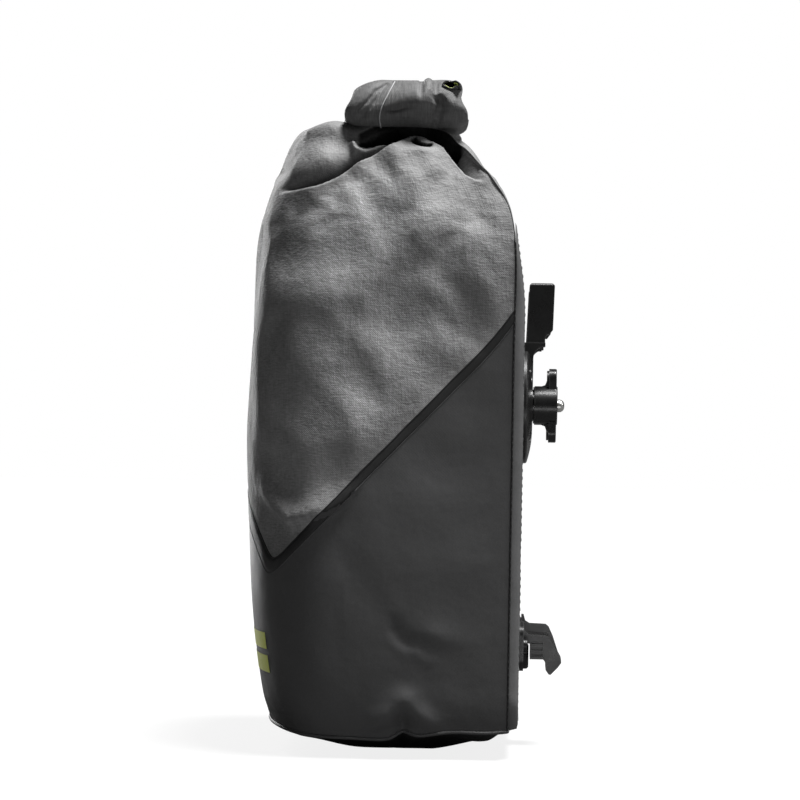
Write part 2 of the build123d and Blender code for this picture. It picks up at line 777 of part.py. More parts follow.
def claw_screws():
    """Two low-head screws that clamp the claw's foot through its slots."""
    seat = BOARD_FACE + CLAW_GAP + CLAW_PLATE + 0.15
    with BuildPart() as screws:
        with BuildSketch(rack_plane(seat)):
            with Locations(*claw_screw_points()):
                Circle(CLAW_SCREW_RADIUS)
        extrude(amount=seat - SHEET_FRONT + 5)
        with BuildSketch(rack_plane(seat + 2.2)):
            with Locations(*claw_screw_points()):
                Circle(4.6)
                RegularPolygon(1.7, 6, mode=Mode.SUBTRACT)
        extrude(amount=2.2)
        with BuildSketch(rack_plane(seat + 0.9)):
            with Locations(*claw_screw_points()):
                Circle(4.0)
        extrude(amount=0.9)
    return screws.part


# ---- build and write ----------------------------------------------------------------------


def main():
    shell, prism = body_shell(), below_seam()
    save(upper_shell(shell, prism), "upper_shell")
    save(lower_shell(shell, prism), "lower_shell")
    save(base_panel(), "base_panel")
    save(back_board(), "back_board")
    save(stiffener_sheet(), "stiffener_sheet")
    save(roll_top(), "roll_top")
    save(lip_stiffener(), "lip_stiffener")

    save(webbing(LEFT_BAR, -ROLL_END - 8), "webbing_left")
    save(webbing(RIGHT_BAR, ROLL_END + 8), "webbing_right")
    save(buckle_socket(), "buckle_socket")
    save(buckle_tongue(), "buckle_tongue")
    save(buckle_prong(-1), "buckle_prong_front")
    save(buckle_prong(1), "buckle_prong_back")

    for side, x in SIDES.items():
        save(hook_puck(x), f"hook_plate_{side}")
        save(stud(x), f"stud_{side}")
        save(washer(x, SHEET_FRONT, 1.6, STUD_HOLE, 12.0), f"stud_washer_{side}")
        save(washer(x, KNOB_INNER - 0.1, 1.0, STUD_HOLE, 10.0), f"thrust_washer_{side}")
        save(lock_knob(x), f"lock_knob_{side}")
        save(knob_insert(x), f"knob_insert_{side}")
        save(handle_anchor(x), f"handle_anchor_{side}")
    save(puck_screws(), "hook_plate_screws")
    save(nuts(puck_screw_points(), SCREW_RADIUS, 7.0, 3.2), "hook_plate_nuts")
    save(anchor_pins(), "anchor_pins")
    save(anchor_screws(), "anchor_screws")
    save(handle_strap(), "handle_strap")

    save(lower_claw(), "lower_claw")
    save(claw_bumper(), "claw_bumper")
    save(claw_screws(), "claw_screws")
    save(nuts(claw_screw_points(), CLAW_SCREW_RADIUS, 8.0, 4.0), "claw_nuts")


main()
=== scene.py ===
"""Looks of the roll-top pannier bag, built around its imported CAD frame. Shapes are worked out in
millimetres in the shared frame (+X along the bicycle, +Y towards the rack, +Z up)."""
import math

import bpy
import numpy as np
from mathutils import Matrix, Vector


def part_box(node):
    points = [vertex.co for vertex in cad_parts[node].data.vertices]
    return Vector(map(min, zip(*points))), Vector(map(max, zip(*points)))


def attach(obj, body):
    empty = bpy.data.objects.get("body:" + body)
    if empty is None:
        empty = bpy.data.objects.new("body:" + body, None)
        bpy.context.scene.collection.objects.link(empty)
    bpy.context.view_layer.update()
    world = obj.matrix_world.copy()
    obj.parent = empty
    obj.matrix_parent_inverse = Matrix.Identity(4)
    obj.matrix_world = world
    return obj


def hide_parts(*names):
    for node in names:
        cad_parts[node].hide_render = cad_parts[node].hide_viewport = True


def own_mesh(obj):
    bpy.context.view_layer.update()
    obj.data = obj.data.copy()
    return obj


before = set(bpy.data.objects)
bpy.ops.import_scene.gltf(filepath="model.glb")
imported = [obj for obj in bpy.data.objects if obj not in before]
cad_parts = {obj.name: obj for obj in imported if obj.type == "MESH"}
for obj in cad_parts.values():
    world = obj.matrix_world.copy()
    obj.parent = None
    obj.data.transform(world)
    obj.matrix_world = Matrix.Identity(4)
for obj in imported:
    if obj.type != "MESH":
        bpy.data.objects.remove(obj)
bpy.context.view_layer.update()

MM = 0.001

# ---- small helpers ------------------------------------------------------------------------


def box_mm(node):
    """Lowest and highest corner of a CAD node, in millimetres."""
    low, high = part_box(node)
    return np.array(low) / MM, np.array(high) / MM


def smooth(low, high, value):
    """0 below low, 1 above high, and a smooth ramp between."""
    t = np.clip((np.asarray(value, float) - low) / (high - low), 0, 1)
    return t * t * (3 - 2 * t)


def bump(value, centre, width):
    """A smooth hill of height 1."""
    return np.exp(-(((np.asarray(value, float) - centre) / width) ** 2))


def hermite(values, q):
    """Smooth curve through values at 0, 1, 2, ..., read at q."""
    values = np.asarray(values, float)
    i = np.clip(np.floor(q).astype(int), 0, len(values) - 2)
    t = q - i
    slope = np.gradient(values)
    hold = (2 * t**3 - 3 * t**2 + 1) * values[i] + (3 * t**2 - 2 * t**3) * values[i + 1]
    return hold + (t**3 - 2 * t**2 + t) * slope[i] + (t**3 - t**2) * slope[i + 1]


def ripples(points, wavelength, seed, waves=28, stretch=(1, 1, 1)):
    """Soft random field of about unit height, the same each run."""
    random = np.random.default_rng(seed)
    total = np.zeros(points.shape[:-1])
    for _ in range(waves):
        direction = random.normal(size=3)
        direction /= np.linalg.norm(direction)
        k = 2 * math.pi / (wavelength * random.uniform(0.7, 1.6)) * direction / np.array(stretch)
        total += np.sin(points @ k + random.uniform(0, 2 * math.pi))
    return total * math.sqrt(2 / waves)


def unit(vectors):
    """Vectors scaled to length 1."""
    return vectors / (np.linalg.norm(vectors, axis=-1, keepdims=True) + 1e-12)


def distances(line):
    """How far along a line of points each of them lies."""
    return np.concatenate([[0], np.cumsum(np.linalg.norm(np.diff(line, axis=0), axis=1))])


def flat_cloth(around, along):
    """Cloth coordinates of a grid, in metres, from where its columns and rows lie on the cloth."""
    u, v = np.meshgrid(around, along)
    return np.stack([u, v, np.zeros_like(u)], axis=-1) * MM


def grid_normals(points):
    """Unit normals of a grid of points [row, column, xyz]."""
    return unit(np.cross(np.gradient(points, axis=1), np.gradient(points, axis=0)))


def mesh_piece(name, points, faces, material, body="bag", cloth=None):
    """A new smooth mesh from points in millimetres, with an optional cloth coordinate in metres."""
    mesh = bpy.data.meshes.new(name)
    mesh.from_pydata([tuple(p) for p in np.asarray(points, float) * MM], [], faces)
    mesh.update()
    mesh.polygons.foreach_set("use_smooth", [True] * len(mesh.polygons))
    if cloth is not None:
        layer = mesh.attributes.new("cloth", "FLOAT_VECTOR", "POINT")
        layer.data.foreach_set("vector", np.asarray(cloth, np.float32).ravel())
    mesh.materials.append(material)
    piece = bpy.data.objects.new(name, mesh)
    bpy.context.scene.collection.objects.link(piece)
    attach(piece, body)
    return piece


def grid_faces(rows, columns, wrap=False, start=0, flip=False):
    """Quads of a grid of points."""
    faces = []
    for r in range(rows - 1):
        for c in range(columns if wrap else columns - 1):
            d = (c + 1) % columns
            quad = (r * columns + c, r * columns + d, (r + 1) * columns + d, (r + 1) * columns + c)
            quad = tuple(start + v for v in quad)
            faces.append(quad[::-1] if flip else quad)
    return faces


def cloth_lengths(points):
    """For each point of a grid, its distance along the columns and along the rows, in metres."""
    across = np.linalg.norm(np.diff(points, axis=1), axis=-1)
    down = np.linalg.norm(np.diff(points, axis=0), axis=-1)
    mean_across = np.concatenate([[0], np.cumsum(across.mean(axis=0))])
    mean_down = np.concatenate([[0], np.cumsum(down.mean(axis=1))])
    return flat_cloth(mean_across, mean_down)


def grid_piece(name, points, material, body="bag", flip=False, cloth=None):
    """An open sheet from a grid of points."""
    rows, columns = points.shape[:2]
    cloth = cloth_lengths(points) if cloth is None else cloth
    faces = grid_faces(rows, columns, flip=flip)
    return mesh_piece(name, points.reshape(-1, 3), faces, material, body, cloth.reshape(-1, 3))


def sweep_frames(path, across):
    """Side and up vectors along a path of points; side keeps as near to across as it can."""
    tangent = unit(np.gradient(path, axis=0))
    across = np.array(across, float)
    side = unit(across - (tangent @ across)[:, None] * tangent)
    return side, np.cross(side, tangent)


def sweep_piece(name, path, section, across, material, body="bag", closed=False):
    """A closed section [side, up] swept along a path, with end caps."""
    path = np.asarray(path, float)
    section = np.asarray(section, float)
    if closed:
        path = np.vstack([path[-1], path, path[0]])
    side, rise = sweep_frames(path, across)
    points = path[:, None] + section[None, :, :1] * side[:, None] + section[None, :, 1:] * rise[:, None]
    points = points[1:-1] if closed else points
    rows, columns = points.shape[:2]
    if closed:
        points = np.vstack([points, points[:1]])
        rows += 1
    faces = grid_faces(rows, columns, wrap=True, flip=True)
    if not closed:
        faces += [tuple(range(columns)), tuple(range(rows * columns - 1, (rows - 1) * columns - 1, -1))]
    cloth = flat_cloth(distances(section), distances(points[:, 0])).reshape(-1, 3)
    return mesh_piece(name, points.reshape(-1, 3), faces, material, body, cloth)


def ring(radius, sides=10):
    """Round section."""
    angles = np.linspace(0, 2 * math.pi, sides, endpoint=False)
    return np.stack([radius * np.cos(angles), radius * np.sin(angles)], axis=1)


def strap_section(width, thickness, sides=5):
    """Flat section of a webbing strap with rounded selvedges."""
    half, r = width / 2, thickness / 2
    angles = np.linspace(-math.pi / 2, math.pi / 2, sides)
    right = [(half - r + r * math.cos(a), r * math.sin(a)) for a in angles]
    left = [(-x, -y) for x, y in right]
    middle = [(x, r) for x in np.linspace(half - r, r - half, 14)[1:-1]]
    under = [(-x, -y) for x, y in middle]
    return np.array(right + middle + left + under)


def tube_piece(name, path, radius, material, body="bag", across=(1, 0, 0), sides=8):
    """A round rod swept along a path."""
    return sweep_piece(name, path, ring(radius, sides), across, material, body)


def resample(path, marks):
    """Points of a path at the given distances along it, and the path's length."""
    path = np.asarray(path, float)
    along = distances(path)
    return np.stack([np.interp(marks, along, path[:, k]) for k in range(3)], axis=1), along[-1]


def stitch_row(name, path, outward, material, length=3.4, gap=1.6, radius=0.4):
    """Run of separate stitches along a path, each a short thread bowed towards outward."""
    _, total = resample(path, [0])
    bow = np.array([0.0, 0.75, 1.0, 0.75, 0.0])
    thick = np.array([0.35, 1.0, 1.0, 1.0, 0.35])
    sunk, sides, steps = 0.8, 6, len(bow)
    outward = np.array(outward, float)
    points, faces = [], []
    for start in np.arange(gap, total - length, length + gap):
        line, _ = resample(path, start + length * np.linspace(0, 1, steps))
        line = line + radius * (bow[:, None] - sunk) * outward
        side = np.cross(line[-1] - line[0], outward)
        side /= np.linalg.norm(side)
        base = len(points)
        for centre, size in zip(line, thick):
            for across, rise in ring(radius * size, sides):
                points.append(centre + across * side + rise * outward)
        faces += grid_faces(steps, sides, wrap=True, start=base)
        faces.append(tuple(base + k for k in range(sides - 1, -1, -1)))
        faces.append(tuple(base + (steps - 1) * sides + k for k in range(sides)))
    return mesh_piece(name, points, faces, material)


# ---- materials ----------------------------------------------------------------------------


class Nodes:
    """A material's node tree, with short calls to add and link nodes."""

    def __init__(self, name):
        self.material = bpy.data.materials.new(name)
        self.material.use_nodes = True
        self.tree = self.material.node_tree
        self.bsdf = next(n for n in self.tree.nodes if n.type == "BSDF_PRINCIPLED")

    def add(self, kind, inputs=None, **settings):
        """Adds a shader node, with its inputs and settings."""
        node = self.tree.nodes.new("ShaderNode" + kind)
        for key, value in settings.items():
            setattr(node, key, value)
        for key, value in (inputs or {}).items():
            self.put(node.inputs[key], value)
        return node

    def put(self, socket, value):
        """Sets a socket, or links another one to it."""
        if isinstance(value, bpy.types.NodeSocket):
            self.tree.links.new(value, socket)
        else:
            socket.default_value = value

    def set(self, **values):
        """Sets the shader's own sockets; underscores stand for spaces."""
        for key, value in values.items():
            self.put(self.bsdf.inputs[key.replace("_", " ")], value)

    def math(self, operation, a, b=0.0, clamp=False):
        return self.add("Math", {0: a, 1: b}, operation=operation, use_clamp=clamp).outputs[0]

    def mix(self, factor, a, b):
        node = self.add("Mix", data_type="RGBA")
        self.put(node.inputs[0], factor)
        self.put(node.inputs[6], a)
        self.put(node.inputs[7], b)
        return node.outputs[2]

    def noise(self, vector, scale, detail=2.0, roughness=0.5):
        return self.add(
            "TexNoise", {"Vector": vector, "Scale": scale, "Detail": detail, "Roughness": roughness}
        ).outputs["Fac"]

    def ramp(self, value, low, high):
        """0 at low, 1 at high."""
        node = self.add("MapRange", {"Value": value, "From Min": low, "From Max": high})
        return node.outputs[0]

    def scaled(self, vector, scale):
        return self.add("Mapping", {"Vector": vector, "Scale": scale}).outputs[0]

    def bump(self, height, strength, distance, normal=None):
        inputs = {"Height": height, "Strength": strength, "Distance": distance}
        if normal is not None:
            inputs["Normal"] = normal
        return self.add("Bump", inputs).outputs[0]

    def place(self):
        """Position on the object."""
        return self.add("TexCoord").outputs["Object"]

    def cloth(self):
        """Cloth coordinate of the mesh: across, along, and how much painted shade darkens it."""
        return self.add("Attribute", attribute_name="cloth", attribute_type="GEOMETRY").outputs["Vector"]


def grey(value, tint=(1, 1, 1)):
    """A grey colour, or one that leans towards tint."""
    return (value * tint[0], value * tint[1], value * tint[2], 1)


def threads(nodes, cloth, pitch):
    """Height of a plain weave: warp and weft threads that pass over and under each other."""
    parts = nodes.add("SeparateXYZ", {0: cloth})
    k = 2 * math.pi / pitch
    warp = nodes.math("SINE", nodes.math("MULTIPLY", parts.outputs[0], k))
    weft = nodes.math("SINE", nodes.math("MULTIPLY", parts.outputs[1], k))
    return nodes.math("MULTIPLY", warp, weft)


def upper_cloth(name, light=0.255, dark=0.09):
    """Heathered mid-grey woven cloth; the third cloth coordinate paints shade into it, darkening it deep in
    a fold.
    """
    n = Nodes(name)
    place, cloth = n.place(), n.cloth()
    weft = n.noise(n.scaled(cloth, (230, 1000, 0)), 1.0, 1, 0.5)
    warp = n.noise(n.scaled(cloth, (900, 90, 0)), 1.0, 1, 0.5)
    specks = n.noise(n.scaled(cloth, (700, 1100, 0)), 1.0, 2, 0.6)
    heather = n.math("ADD", n.math("MULTIPLY", weft, 0.5), n.math("MULTIPLY", warp, 0.3))
    heather = n.math("ADD", heather, n.math("MULTIPLY", specks, 0.2))
    patches = n.noise(place, 30, 3, 0.55)
    tone = n.math("ADD", heather, n.math("MULTIPLY", patches, 0.3))
    colour = n.mix(n.ramp(tone, 0.35, 0.95), grey(dark), grey(light))
    # Painted shade: the colour goes towards black where the third cloth coordinate is high.
    depth = n.add("SeparateXYZ", {0: cloth}).outputs[2]
    colour = n.mix(depth, colour, grey(0.004))
    weave = threads(n, cloth, 0.0013)
    height = n.math("ADD", n.math("MULTIPLY", weave, 0.2), n.math("MULTIPLY", heather, 1.6))
    normal = n.bump(height, 0.6, 0.0005)
    crinkle = n.noise(place, 60, 4, 0.6)
    normal = n.bump(crinkle, 0.5, 0.004, normal)
    n.set(Base_Color=colour, Roughness=n.ramp(heather, -0.5, 1.2), Normal=normal)
    n.set(Specular_IOR_Level=0.3)
    return n.material


def lower_cloth(name, tone=0.045, rough=0.5):
    """Near-black coated fabric: smooth, with a very fine grid and soft sheen."""
    n = Nodes(name)
    place, cloth = n.place(), n.cloth()
    weave = threads(n, cloth, 0.0009)
    cloud = n.noise(place, 14, 3, 0.5)
    grain = n.noise(place, 900, 2, 0.6)
    shade = n.math("ADD", n.math("MULTIPLY", cloud, 0.7), n.math("MULTIPLY", grain, 0.3))
    colour = n.mix(n.ramp(shade, 0.3, 0.7), grey(tone * 0.8), grey(tone * 1.25, (1, 1, 1.02)))
    fine = n.math("ADD", n.math("MULTIPLY", weave, 0.25), n.math("MULTIPLY", grain, 0.35))
    normal = n.bump(fine, 0.35, 0.0004)
    normal = n.bump(n.noise(place, 38, 3, 0.5), 0.25, 0.004, normal)
    n.set(Base_Color=colour, Roughness=n.ramp(cloud, -rough * 1.2, 2.1 - rough), Normal=normal)
    n.set(Specular_IOR_Level=0.35)
    return n.material


def moulded(name, tone=0.006, rough=0.3, wear_and_glint=0.05):
    """Satin black moulding: fine spark-eroded grain, and edges made a little lighter, partly as wear and
    partly as a painted highlight along the rims.
    """
    n = Nodes(name)
    place = n.place()
    grain = n.noise(place, 1600, 2, 0.6)
    smear = n.noise(place, 60, 3, 0.6)
    # Lighter edges: partly wear, partly a painted highlight along the rims.
    bevelled = n.add("Bevel", {"Radius": 0.0012}, samples=6).outputs[0]
    true_normal = n.add("NewGeometry").outputs["Normal"]
    flatness = n.add("VectorMath", {0: bevelled, 1: true_normal}, operation="DOT_PRODUCT").outputs["Value"]
    edge = n.ramp(flatness, 0.995, 0.9)
    edge_wear_and_glint = n.math("MULTIPLY", edge, n.ramp(smear, 0.2, 0.6), clamp=True)
    colour = n.mix(edge_wear_and_glint, grey(tone), grey(wear_and_glint))
    n.set(Base_Color=colour, Roughness=n.ramp(smear, 0.5 - 4 * rough, 4.5 - 4 * rough))
    n.set(Normal=n.bump(grain, 0.15, 0.0002), Specular_IOR_Level=0.5)
    return n.material


def plated(name, colour, rough=0.28):
    """Turned and plated metal with faint lathe lines and dull patches."""
    n = Nodes(name)
    place = n.place()
    lines = n.noise(n.scaled(place, (900, 2600, 900)), 1.0, 2, 0.5)
    dull = n.noise(place, 180, 3, 0.6)
    tint = n.mix(n.ramp(dull, 0.35, 0.75), colour, tuple(c * 0.7 for c in colour[:3]) + (1,))
    n.set(Base_Color=tint, Metallic=1.0, Roughness=n.ramp(dull, -rough, 2.6 - rough))
    n.set(Normal=n.bump(lines, 0.15, 0.0002))
    return n.material


def woven_strap(name, tone=0.02):
    """Black webbing: herringbone ribs across and fine threads along."""
    n = Nodes(name)
    cloth = n.cloth()
    parts = n.add("SeparateXYZ", {0: cloth})
    across = n.math("SINE", n.math("MULTIPLY", parts.outputs[0], 2 * math.pi / 0.0022))
    slant = n.math("ADD", parts.outputs[1], n.math("MULTIPLY", across, 0.0005))
    ribs = n.math("SINE", n.math("MULTIPLY", slant, 2 * math.pi / 0.0014))
    height = n.math("ADD", n.math("MULTIPLY", ribs, 0.6), n.math("MULTIPLY", across, 0.4))
    fuzz = n.noise(n.place(), 1200, 2, 0.6)
    colour = n.mix(n.ramp(n.math("ADD", height, fuzz), -0.6, 1.6), grey(tone * 0.5), grey(tone * 1.9))
    n.set(Base_Color=colour, Roughness=n.ramp(fuzz, -2.2, 1.6), Normal=n.bump(height, 0.7, 0.0005))
    return n.material


def soft_rubber(name):
    """Matt black rubber with a little dust in its pores."""
    n = Nodes(name)
    place = n.place()
    dust = n.noise(place, 260, 4, 0.65)
    colour = n.mix(n.ramp(dust, 0.4, 0.8), grey(0.018), grey(0.045))
    n.set(Base_Color=colour, Roughness=n.ramp(dust, -1.2, 1.3), Normal=n.bump(dust, 0.3, 0.0003))
    return n.material


def printed(name, colour, fade=0.35):
    """Ink or coating with slight unevenness; fade is how much colour is left where it is thin."""
    n = Nodes(name)
    place = n.place()
    wear = n.noise(place, 420, 4, 0.65)
    faded = tuple(c * fade for c in colour[:3]) + (1,)
    n.set(Base_Color=n.mix(n.ramp(wear, 0.62, 0.8), colour, faded))
    n.set(Roughness=n.ramp(wear, -0.6, 1.4), Normal=n.bump(wear, 0.2, 0.0003))
    return n.material


def stage_paper(name):
    """Studio floor that looks pale to the camera alone, so that it throws little light at the bag."""
    n = Nodes(name)
    tone = n.noise(n.place(), 3, 2, 0.5)
    seen = n.add("LightPath").outputs["Is Camera Ray"]
    n.set(Base_Color=n.mix(tone, grey(0.065), grey(0.07)), Roughness=0.9)
    n.set(Emission_Color=grey(1.0), Emission_Strength=n.math("MULTIPLY", seen, 0.84))
    return n.material


UPPER = upper_cloth("upper_cloth")
# The same woven cloth as the upper fabric, made darker over the roll: painted shade.
ROLL_CLOTH_SHADED = upper_cloth("rolled_cloth_shaded", light=0.15, dark=0.05)
LOWER = lower_cloth("lower_cloth")
BASE = lower_cloth("base_cloth", tone=0.012, rough=0.6)
BOARD = lower_cloth("board_cloth", tone=0.1, rough=0.6)
TAPE = lower_cloth("seam_tape", tone=0.01, rough=0.5)
THREAD = lower_cloth("seam_line", tone=0.06, rough=0.6)
PALE_THREAD = lower_cloth("pale_thread", tone=0.35, rough=0.6)
DARK_THREAD = lower_cloth("dark_line", tone=0.008, rough=0.6)
BOARD_THREAD = lower_cloth("board_thread", tone=0.045, rough=0.6)
LIME = printed("lime_print", (0.72, 0.78, 0.12, 1))
LINING = printed("lime_lining", (0.62, 0.72, 0.18, 1), 0.7)
HARDWARE = moulded("satin_black")
KNOB = moulded("knob_black", tone=0.006, rough=0.26, wear_and_glint=0.04)
BUCKLE = moulded("buckle_black", tone=0.006, rough=0.26, wear_and_glint=0.03)
BLACKED = plated("blacked_steel", (0.06, 0.06, 0.06, 1))
STEEL = plated("zinc_plate", (0.75, 0.75, 0.73, 1))
BRASS = plated("turned_brass", (0.75, 0.56, 0.25, 1))
STRAP = woven_strap("webbing_black")
RUBBER = soft_rubber("pad_rubber")
SHEET = moulded("sheet_plastic", tone=0.03, rough=0.5, wear_and_glint=0.05)

# ---- camera, light and stage --------------------------------------------------------------

EYE = Vector((2.0, 0.069, 0.222))
TARGET = Vector((0.0, -0.0045, 0.222))
LENS = 138.5
TILT = math.radians(1.0)  # the camera leans a little to one side
AMBIENT = 0.035
FLOOR_REACH = 6.0


def make_camera():
    """Camera with a long lens, which looks along the bicycle at the bag's side."""
    data = bpy.data.cameras.new("camera")
    data.lens = LENS
    data.sensor_width = 36
    camera = bpy.data.objects.new("camera", data)
    bpy.context.scene.collection.objects.link(camera)
    camera.location = EYE
    turn = (TARGET - EYE).to_track_quat("-Z", "Y").to_matrix().to_4x4()
    tilt = Matrix.Rotation(TILT, 4, Vector((0, 0, 1)))
    camera.matrix_world = Matrix.Translation(EYE) @ turn @ tilt
    bpy.context.scene.camera = camera


def area_light(name, place, aim, size, power):
    """Rectangular soft light at place, turned towards aim."""
    data = bpy.data.lights.new(name, "AREA")
    data.shape = "RECTANGLE"
    data.size, data.size_y = size
    data.energy = power
    lamp = bpy.data.objects.new(name, data)
    lamp.location = place
    lamp.visible_camera = False
    lamp.rotation_euler = (Vector(aim) - Vector(place)).to_track_quat("-Z", "Y").to_euler()
    bpy.context.scene.collection.objects.link(lamp)


def make_stage():
    """Pale floor, and a world that the camera sees white but that lights the bag only faintly."""
    r = FLOOR_REACH
    corners = [(-r, -r, 0), (r, -r, 0), (r, r, 0), (-r, r, 0)]
    mesh = bpy.data.meshes.new("floor")
    mesh.from_pydata(corners, [], [(0, 1, 2, 3)])
    mesh.materials.append(stage_paper("stage_paper"))
    floor = bpy.data.objects.new("floor", mesh)
    bpy.context.scene.collection.objects.link(floor)
    world = bpy.data.worlds.new("studio")
    world.use_nodes = True
    tree = world.node_tree
    seen = tree.nodes.new("ShaderNodeLightPath").outputs["Is Camera Ray"]
    fill = tree.nodes.new("ShaderNodeMapRange")
    fill.inputs["To Min"].default_value = AMBIENT
    tree.links.new(seen, fill.inputs["Value"])
    tree.nodes["Background"].inputs["Color"].default_value = (1, 1, 1, 1)
    tree.links.new(fill.outputs[0], tree.nodes["Background"].inputs["Strength"])
    bpy.context.scene.world = world
    bpy.context.scene.view_settings.view_transform = "Standard"


def soft_sun(power, spread, source):
    """Overhead light that falls evenly over the whole floor, from the direction of source."""
    data = bpy.data.lights.new("overhead", "SUN")
    data.energy = power
    data.angle = math.radians(spread)
    lamp = bpy.data.objects.new("overhead", data)
    lamp.rotation_euler = (-Vector(source)).to_track_quat("-Z", "Y").to_euler()
    bpy.context.scene.collection.objects.link(lamp)


make_camera()
make_stage()
soft_sun(9.0, 18, (0.14, 0.27, 1))
area_light("rack_side", (0.3, 1.6, 1.0), (0, 0, 0.2), (0.4, 0.8), 6)
area_light("front_side", (-1.5, -0.8, 0.5), (0, 0, 0.25), (0.4, 1.4), 18)
area_light("floor_glow", (0.55, 0.1, 0.02), (0.1, 0.0, 0.05), (0.5, 0.12), 0.6)

# ---- stuffed body -------------------------------------------------------------------------

BACK = 69.0  # depth of the flat back, under the board
CORE = np.array([0, -10, 0])  # a point well inside the bag, to tell outward from inward

# Outlines from the bottom seam to the neck: height, half width, half width at the back, front, back.
OUTLINES = np.array([
    (14.0, 100.0, 97.0, -84.0, BACK),
    (40.0, 108.0, 101.0, -90.0, BACK),
    (95.0, 117.0, 106.0, -96.8, BACK),
    (170.0, 124.0, 112.0, -99.8, BACK),
    (250.0, 125.0, 117.0, -99.3, BACK),
    (315.0, 121.0, 118.0, -96.2, BACK),
    (345.0, 115.0, 112.0, -91.0, 63.0),
    (368.0, 105.5, 102.5, -82.5, 46.5),
    (384.0, 94.5, 91.5, -76.5, 31.0),
    (393.0, 86.0, 82.0, -66.0, 15.0),
    (394.0, 81.0, 77.0, -46.0, 11.0),
    (395.0, 78.0, 74.0, -34.0, 8.0),
])
LAST = len(OUTLINES) - 1
SIDE_SHARE = 0.65  # how far the flat sides reach from the back to the front
ROUNDNESS = 0.8

# The slanted seam, as depth and height, from the back to the front corner and up the front again.
SEAM_BACK = np.array([BACK, 273.4])
SEAM_CORNER = np.array([-80.0, 118.4])
SEAM_FRONT = np.array([-103.7, 174.7])
SEAM_SOFT = 7.0  # how gently it turns at the corner
TURN_UP = (46.0, 23.0, 4.5)  # where it starts to run up into the back seam, over what depth, how high
TAPE_WIDTH = 5.5
HALF_WAY = 4.0  # outline in the middle of the bag, where its columns are spaced


def hem_height(x, y):
    """How far the bottom seam rises above its lowest outline: low in the middle, nicked at the pucker."""
    bowl = 7 * ((y + 8) / 76) ** 2 - 3.3
    nick = 3.6 * bump(y, 4.5, 7) * (x > 60)
    return bowl + 4.5 * bump(y, 30, 24) + 1.5 * bump(y, -24, 24) + nick


def body_surface(q, kind, s, side):
    """Points of the body before its folds. q counts outlines; kind is 0 back, 1 side, 2 front."""
    height, half, back_half, front, back = (hermite(OUTLINES[:, i], q) for i in range(5))
    corner = back + SIDE_SHARE * (front - back)
    angle = s * math.pi / 2
    x = np.choose(kind, [s * back_half, back_half + (half - back_half) * np.sin(angle),
                         half * np.cos(angle).clip(0) ** ROUNDNESS])
    y = np.choose(kind, [back + 0 * s, back + (corner - back) * s,
                         corner - (corner - front) * np.sin(angle) ** ROUNDNESS])
    y = y + np.where(kind == 0, 3.0 * smooth(5.2, 6.2, q) * (1 - s**2), 0)
    sag = (1 - np.clip(q, 0, 1)) ** 2 * hem_height(x, y)
    return np.stack([x * side, y, height + sag], axis=-1)


def even_steps(kind, count):
    """Values of s that space count + 1 columns evenly along one stretch of the outline."""
    s = np.linspace(0, 1, 2001)
    points = body_surface(np.full(s.shape, HALF_WAY), np.full(s.shape, kind), s, 1)
    length = distances(points)
    return np.interp(np.linspace(0, length[-1], count + 1), length, s)


def make_columns(counts):
    """Columns right round the bag, from the middle of the back and back to it."""
    kinds, steps = [], []
    for kind, count in enumerate(counts):
        s = even_steps(kind, count)
        s = s if kind == 2 else s[:-1]
        kinds += [kind] * len(s)
        steps += list(s)
    kind, s = np.array(kinds), np.array(steps)
    kind = np.concatenate([kind, kind[::-1][1:]])
    side = np.concatenate([np.ones(len(s)), -np.ones(len(s) - 1)])
    return kind, np.concatenate([s, s[::-1][1:]]), side


def seam_height(y, drop=0.0):
    """Height of the slanted seam, or of a line drop below it, at depth y."""
    heights = []
    for end in (SEAM_BACK, SEAM_FRONT):
        slope = (end[1] - SEAM_CORNER[1]) / (end[0] - SEAM_CORNER[0])
        heights.append(SEAM_CORNER[1] + slope * (y - SEAM_CORNER[0]) - drop * math.hypot(1, slope))
    start, reach, rise = TURN_UP
    turn_up = rise * ((y - start) / reach).clip(0) ** 2
    return np.logaddexp(heights[0] / SEAM_SOFT, heights[1] / SEAM_SOFT) * SEAM_SOFT + turn_up


def seam_q(columns, drop=0.0):
    """For each column, the q where it crosses the seam, by halving."""
    kind, s, side = columns
    low, high = np.full(s.shape, 0.0), np.full(s.shape, 8.0)
    for _ in range(40):
        q = (low + high) / 2
        point = body_surface(q, kind, s, side)
        over = point[:, 2] > seam_height(point[:, 1], drop)
        high = np.where(over, q, high)
        low = np.where(over, low, q)
    return (low + high) / 2


def path_distance(y, z, path):
    """Signed distance to a line in the side view, positive on its left, and the share along it."""
    path = np.asarray(path, float)
    lengths = np.linalg.norm(np.diff(path, axis=0), axis=1)
    starts = np.concatenate([[0], np.cumsum(lengths)])
    best = np.full(y.shape, 1e9)
    signed, along = np.zeros(y.shape), np.zeros(y.shape)
    for a, b, length, start in zip(path[:-1], path[1:], lengths, starts):
        t = np.clip(((y - a[0]) * (b[0] - a[0]) + (z - a[1]) * (b[1] - a[1])) / length**2, 0, 1)
        dy, dz = y - a[0] - t * (b[0] - a[0]), z - a[1] - t * (b[1] - a[1])
        distance = np.hypot(dy, dz)
        sign = np.sign((b[0] - a[0]) * dz - (b[1] - a[1]) * dy)
        closer = distance < best
        best = np.where(closer, distance, best)
        signed = np.where(closer, sign * distance, signed)
        along = np.where(closer, (start + t * length) / starts[-1], along)
    return signed, along


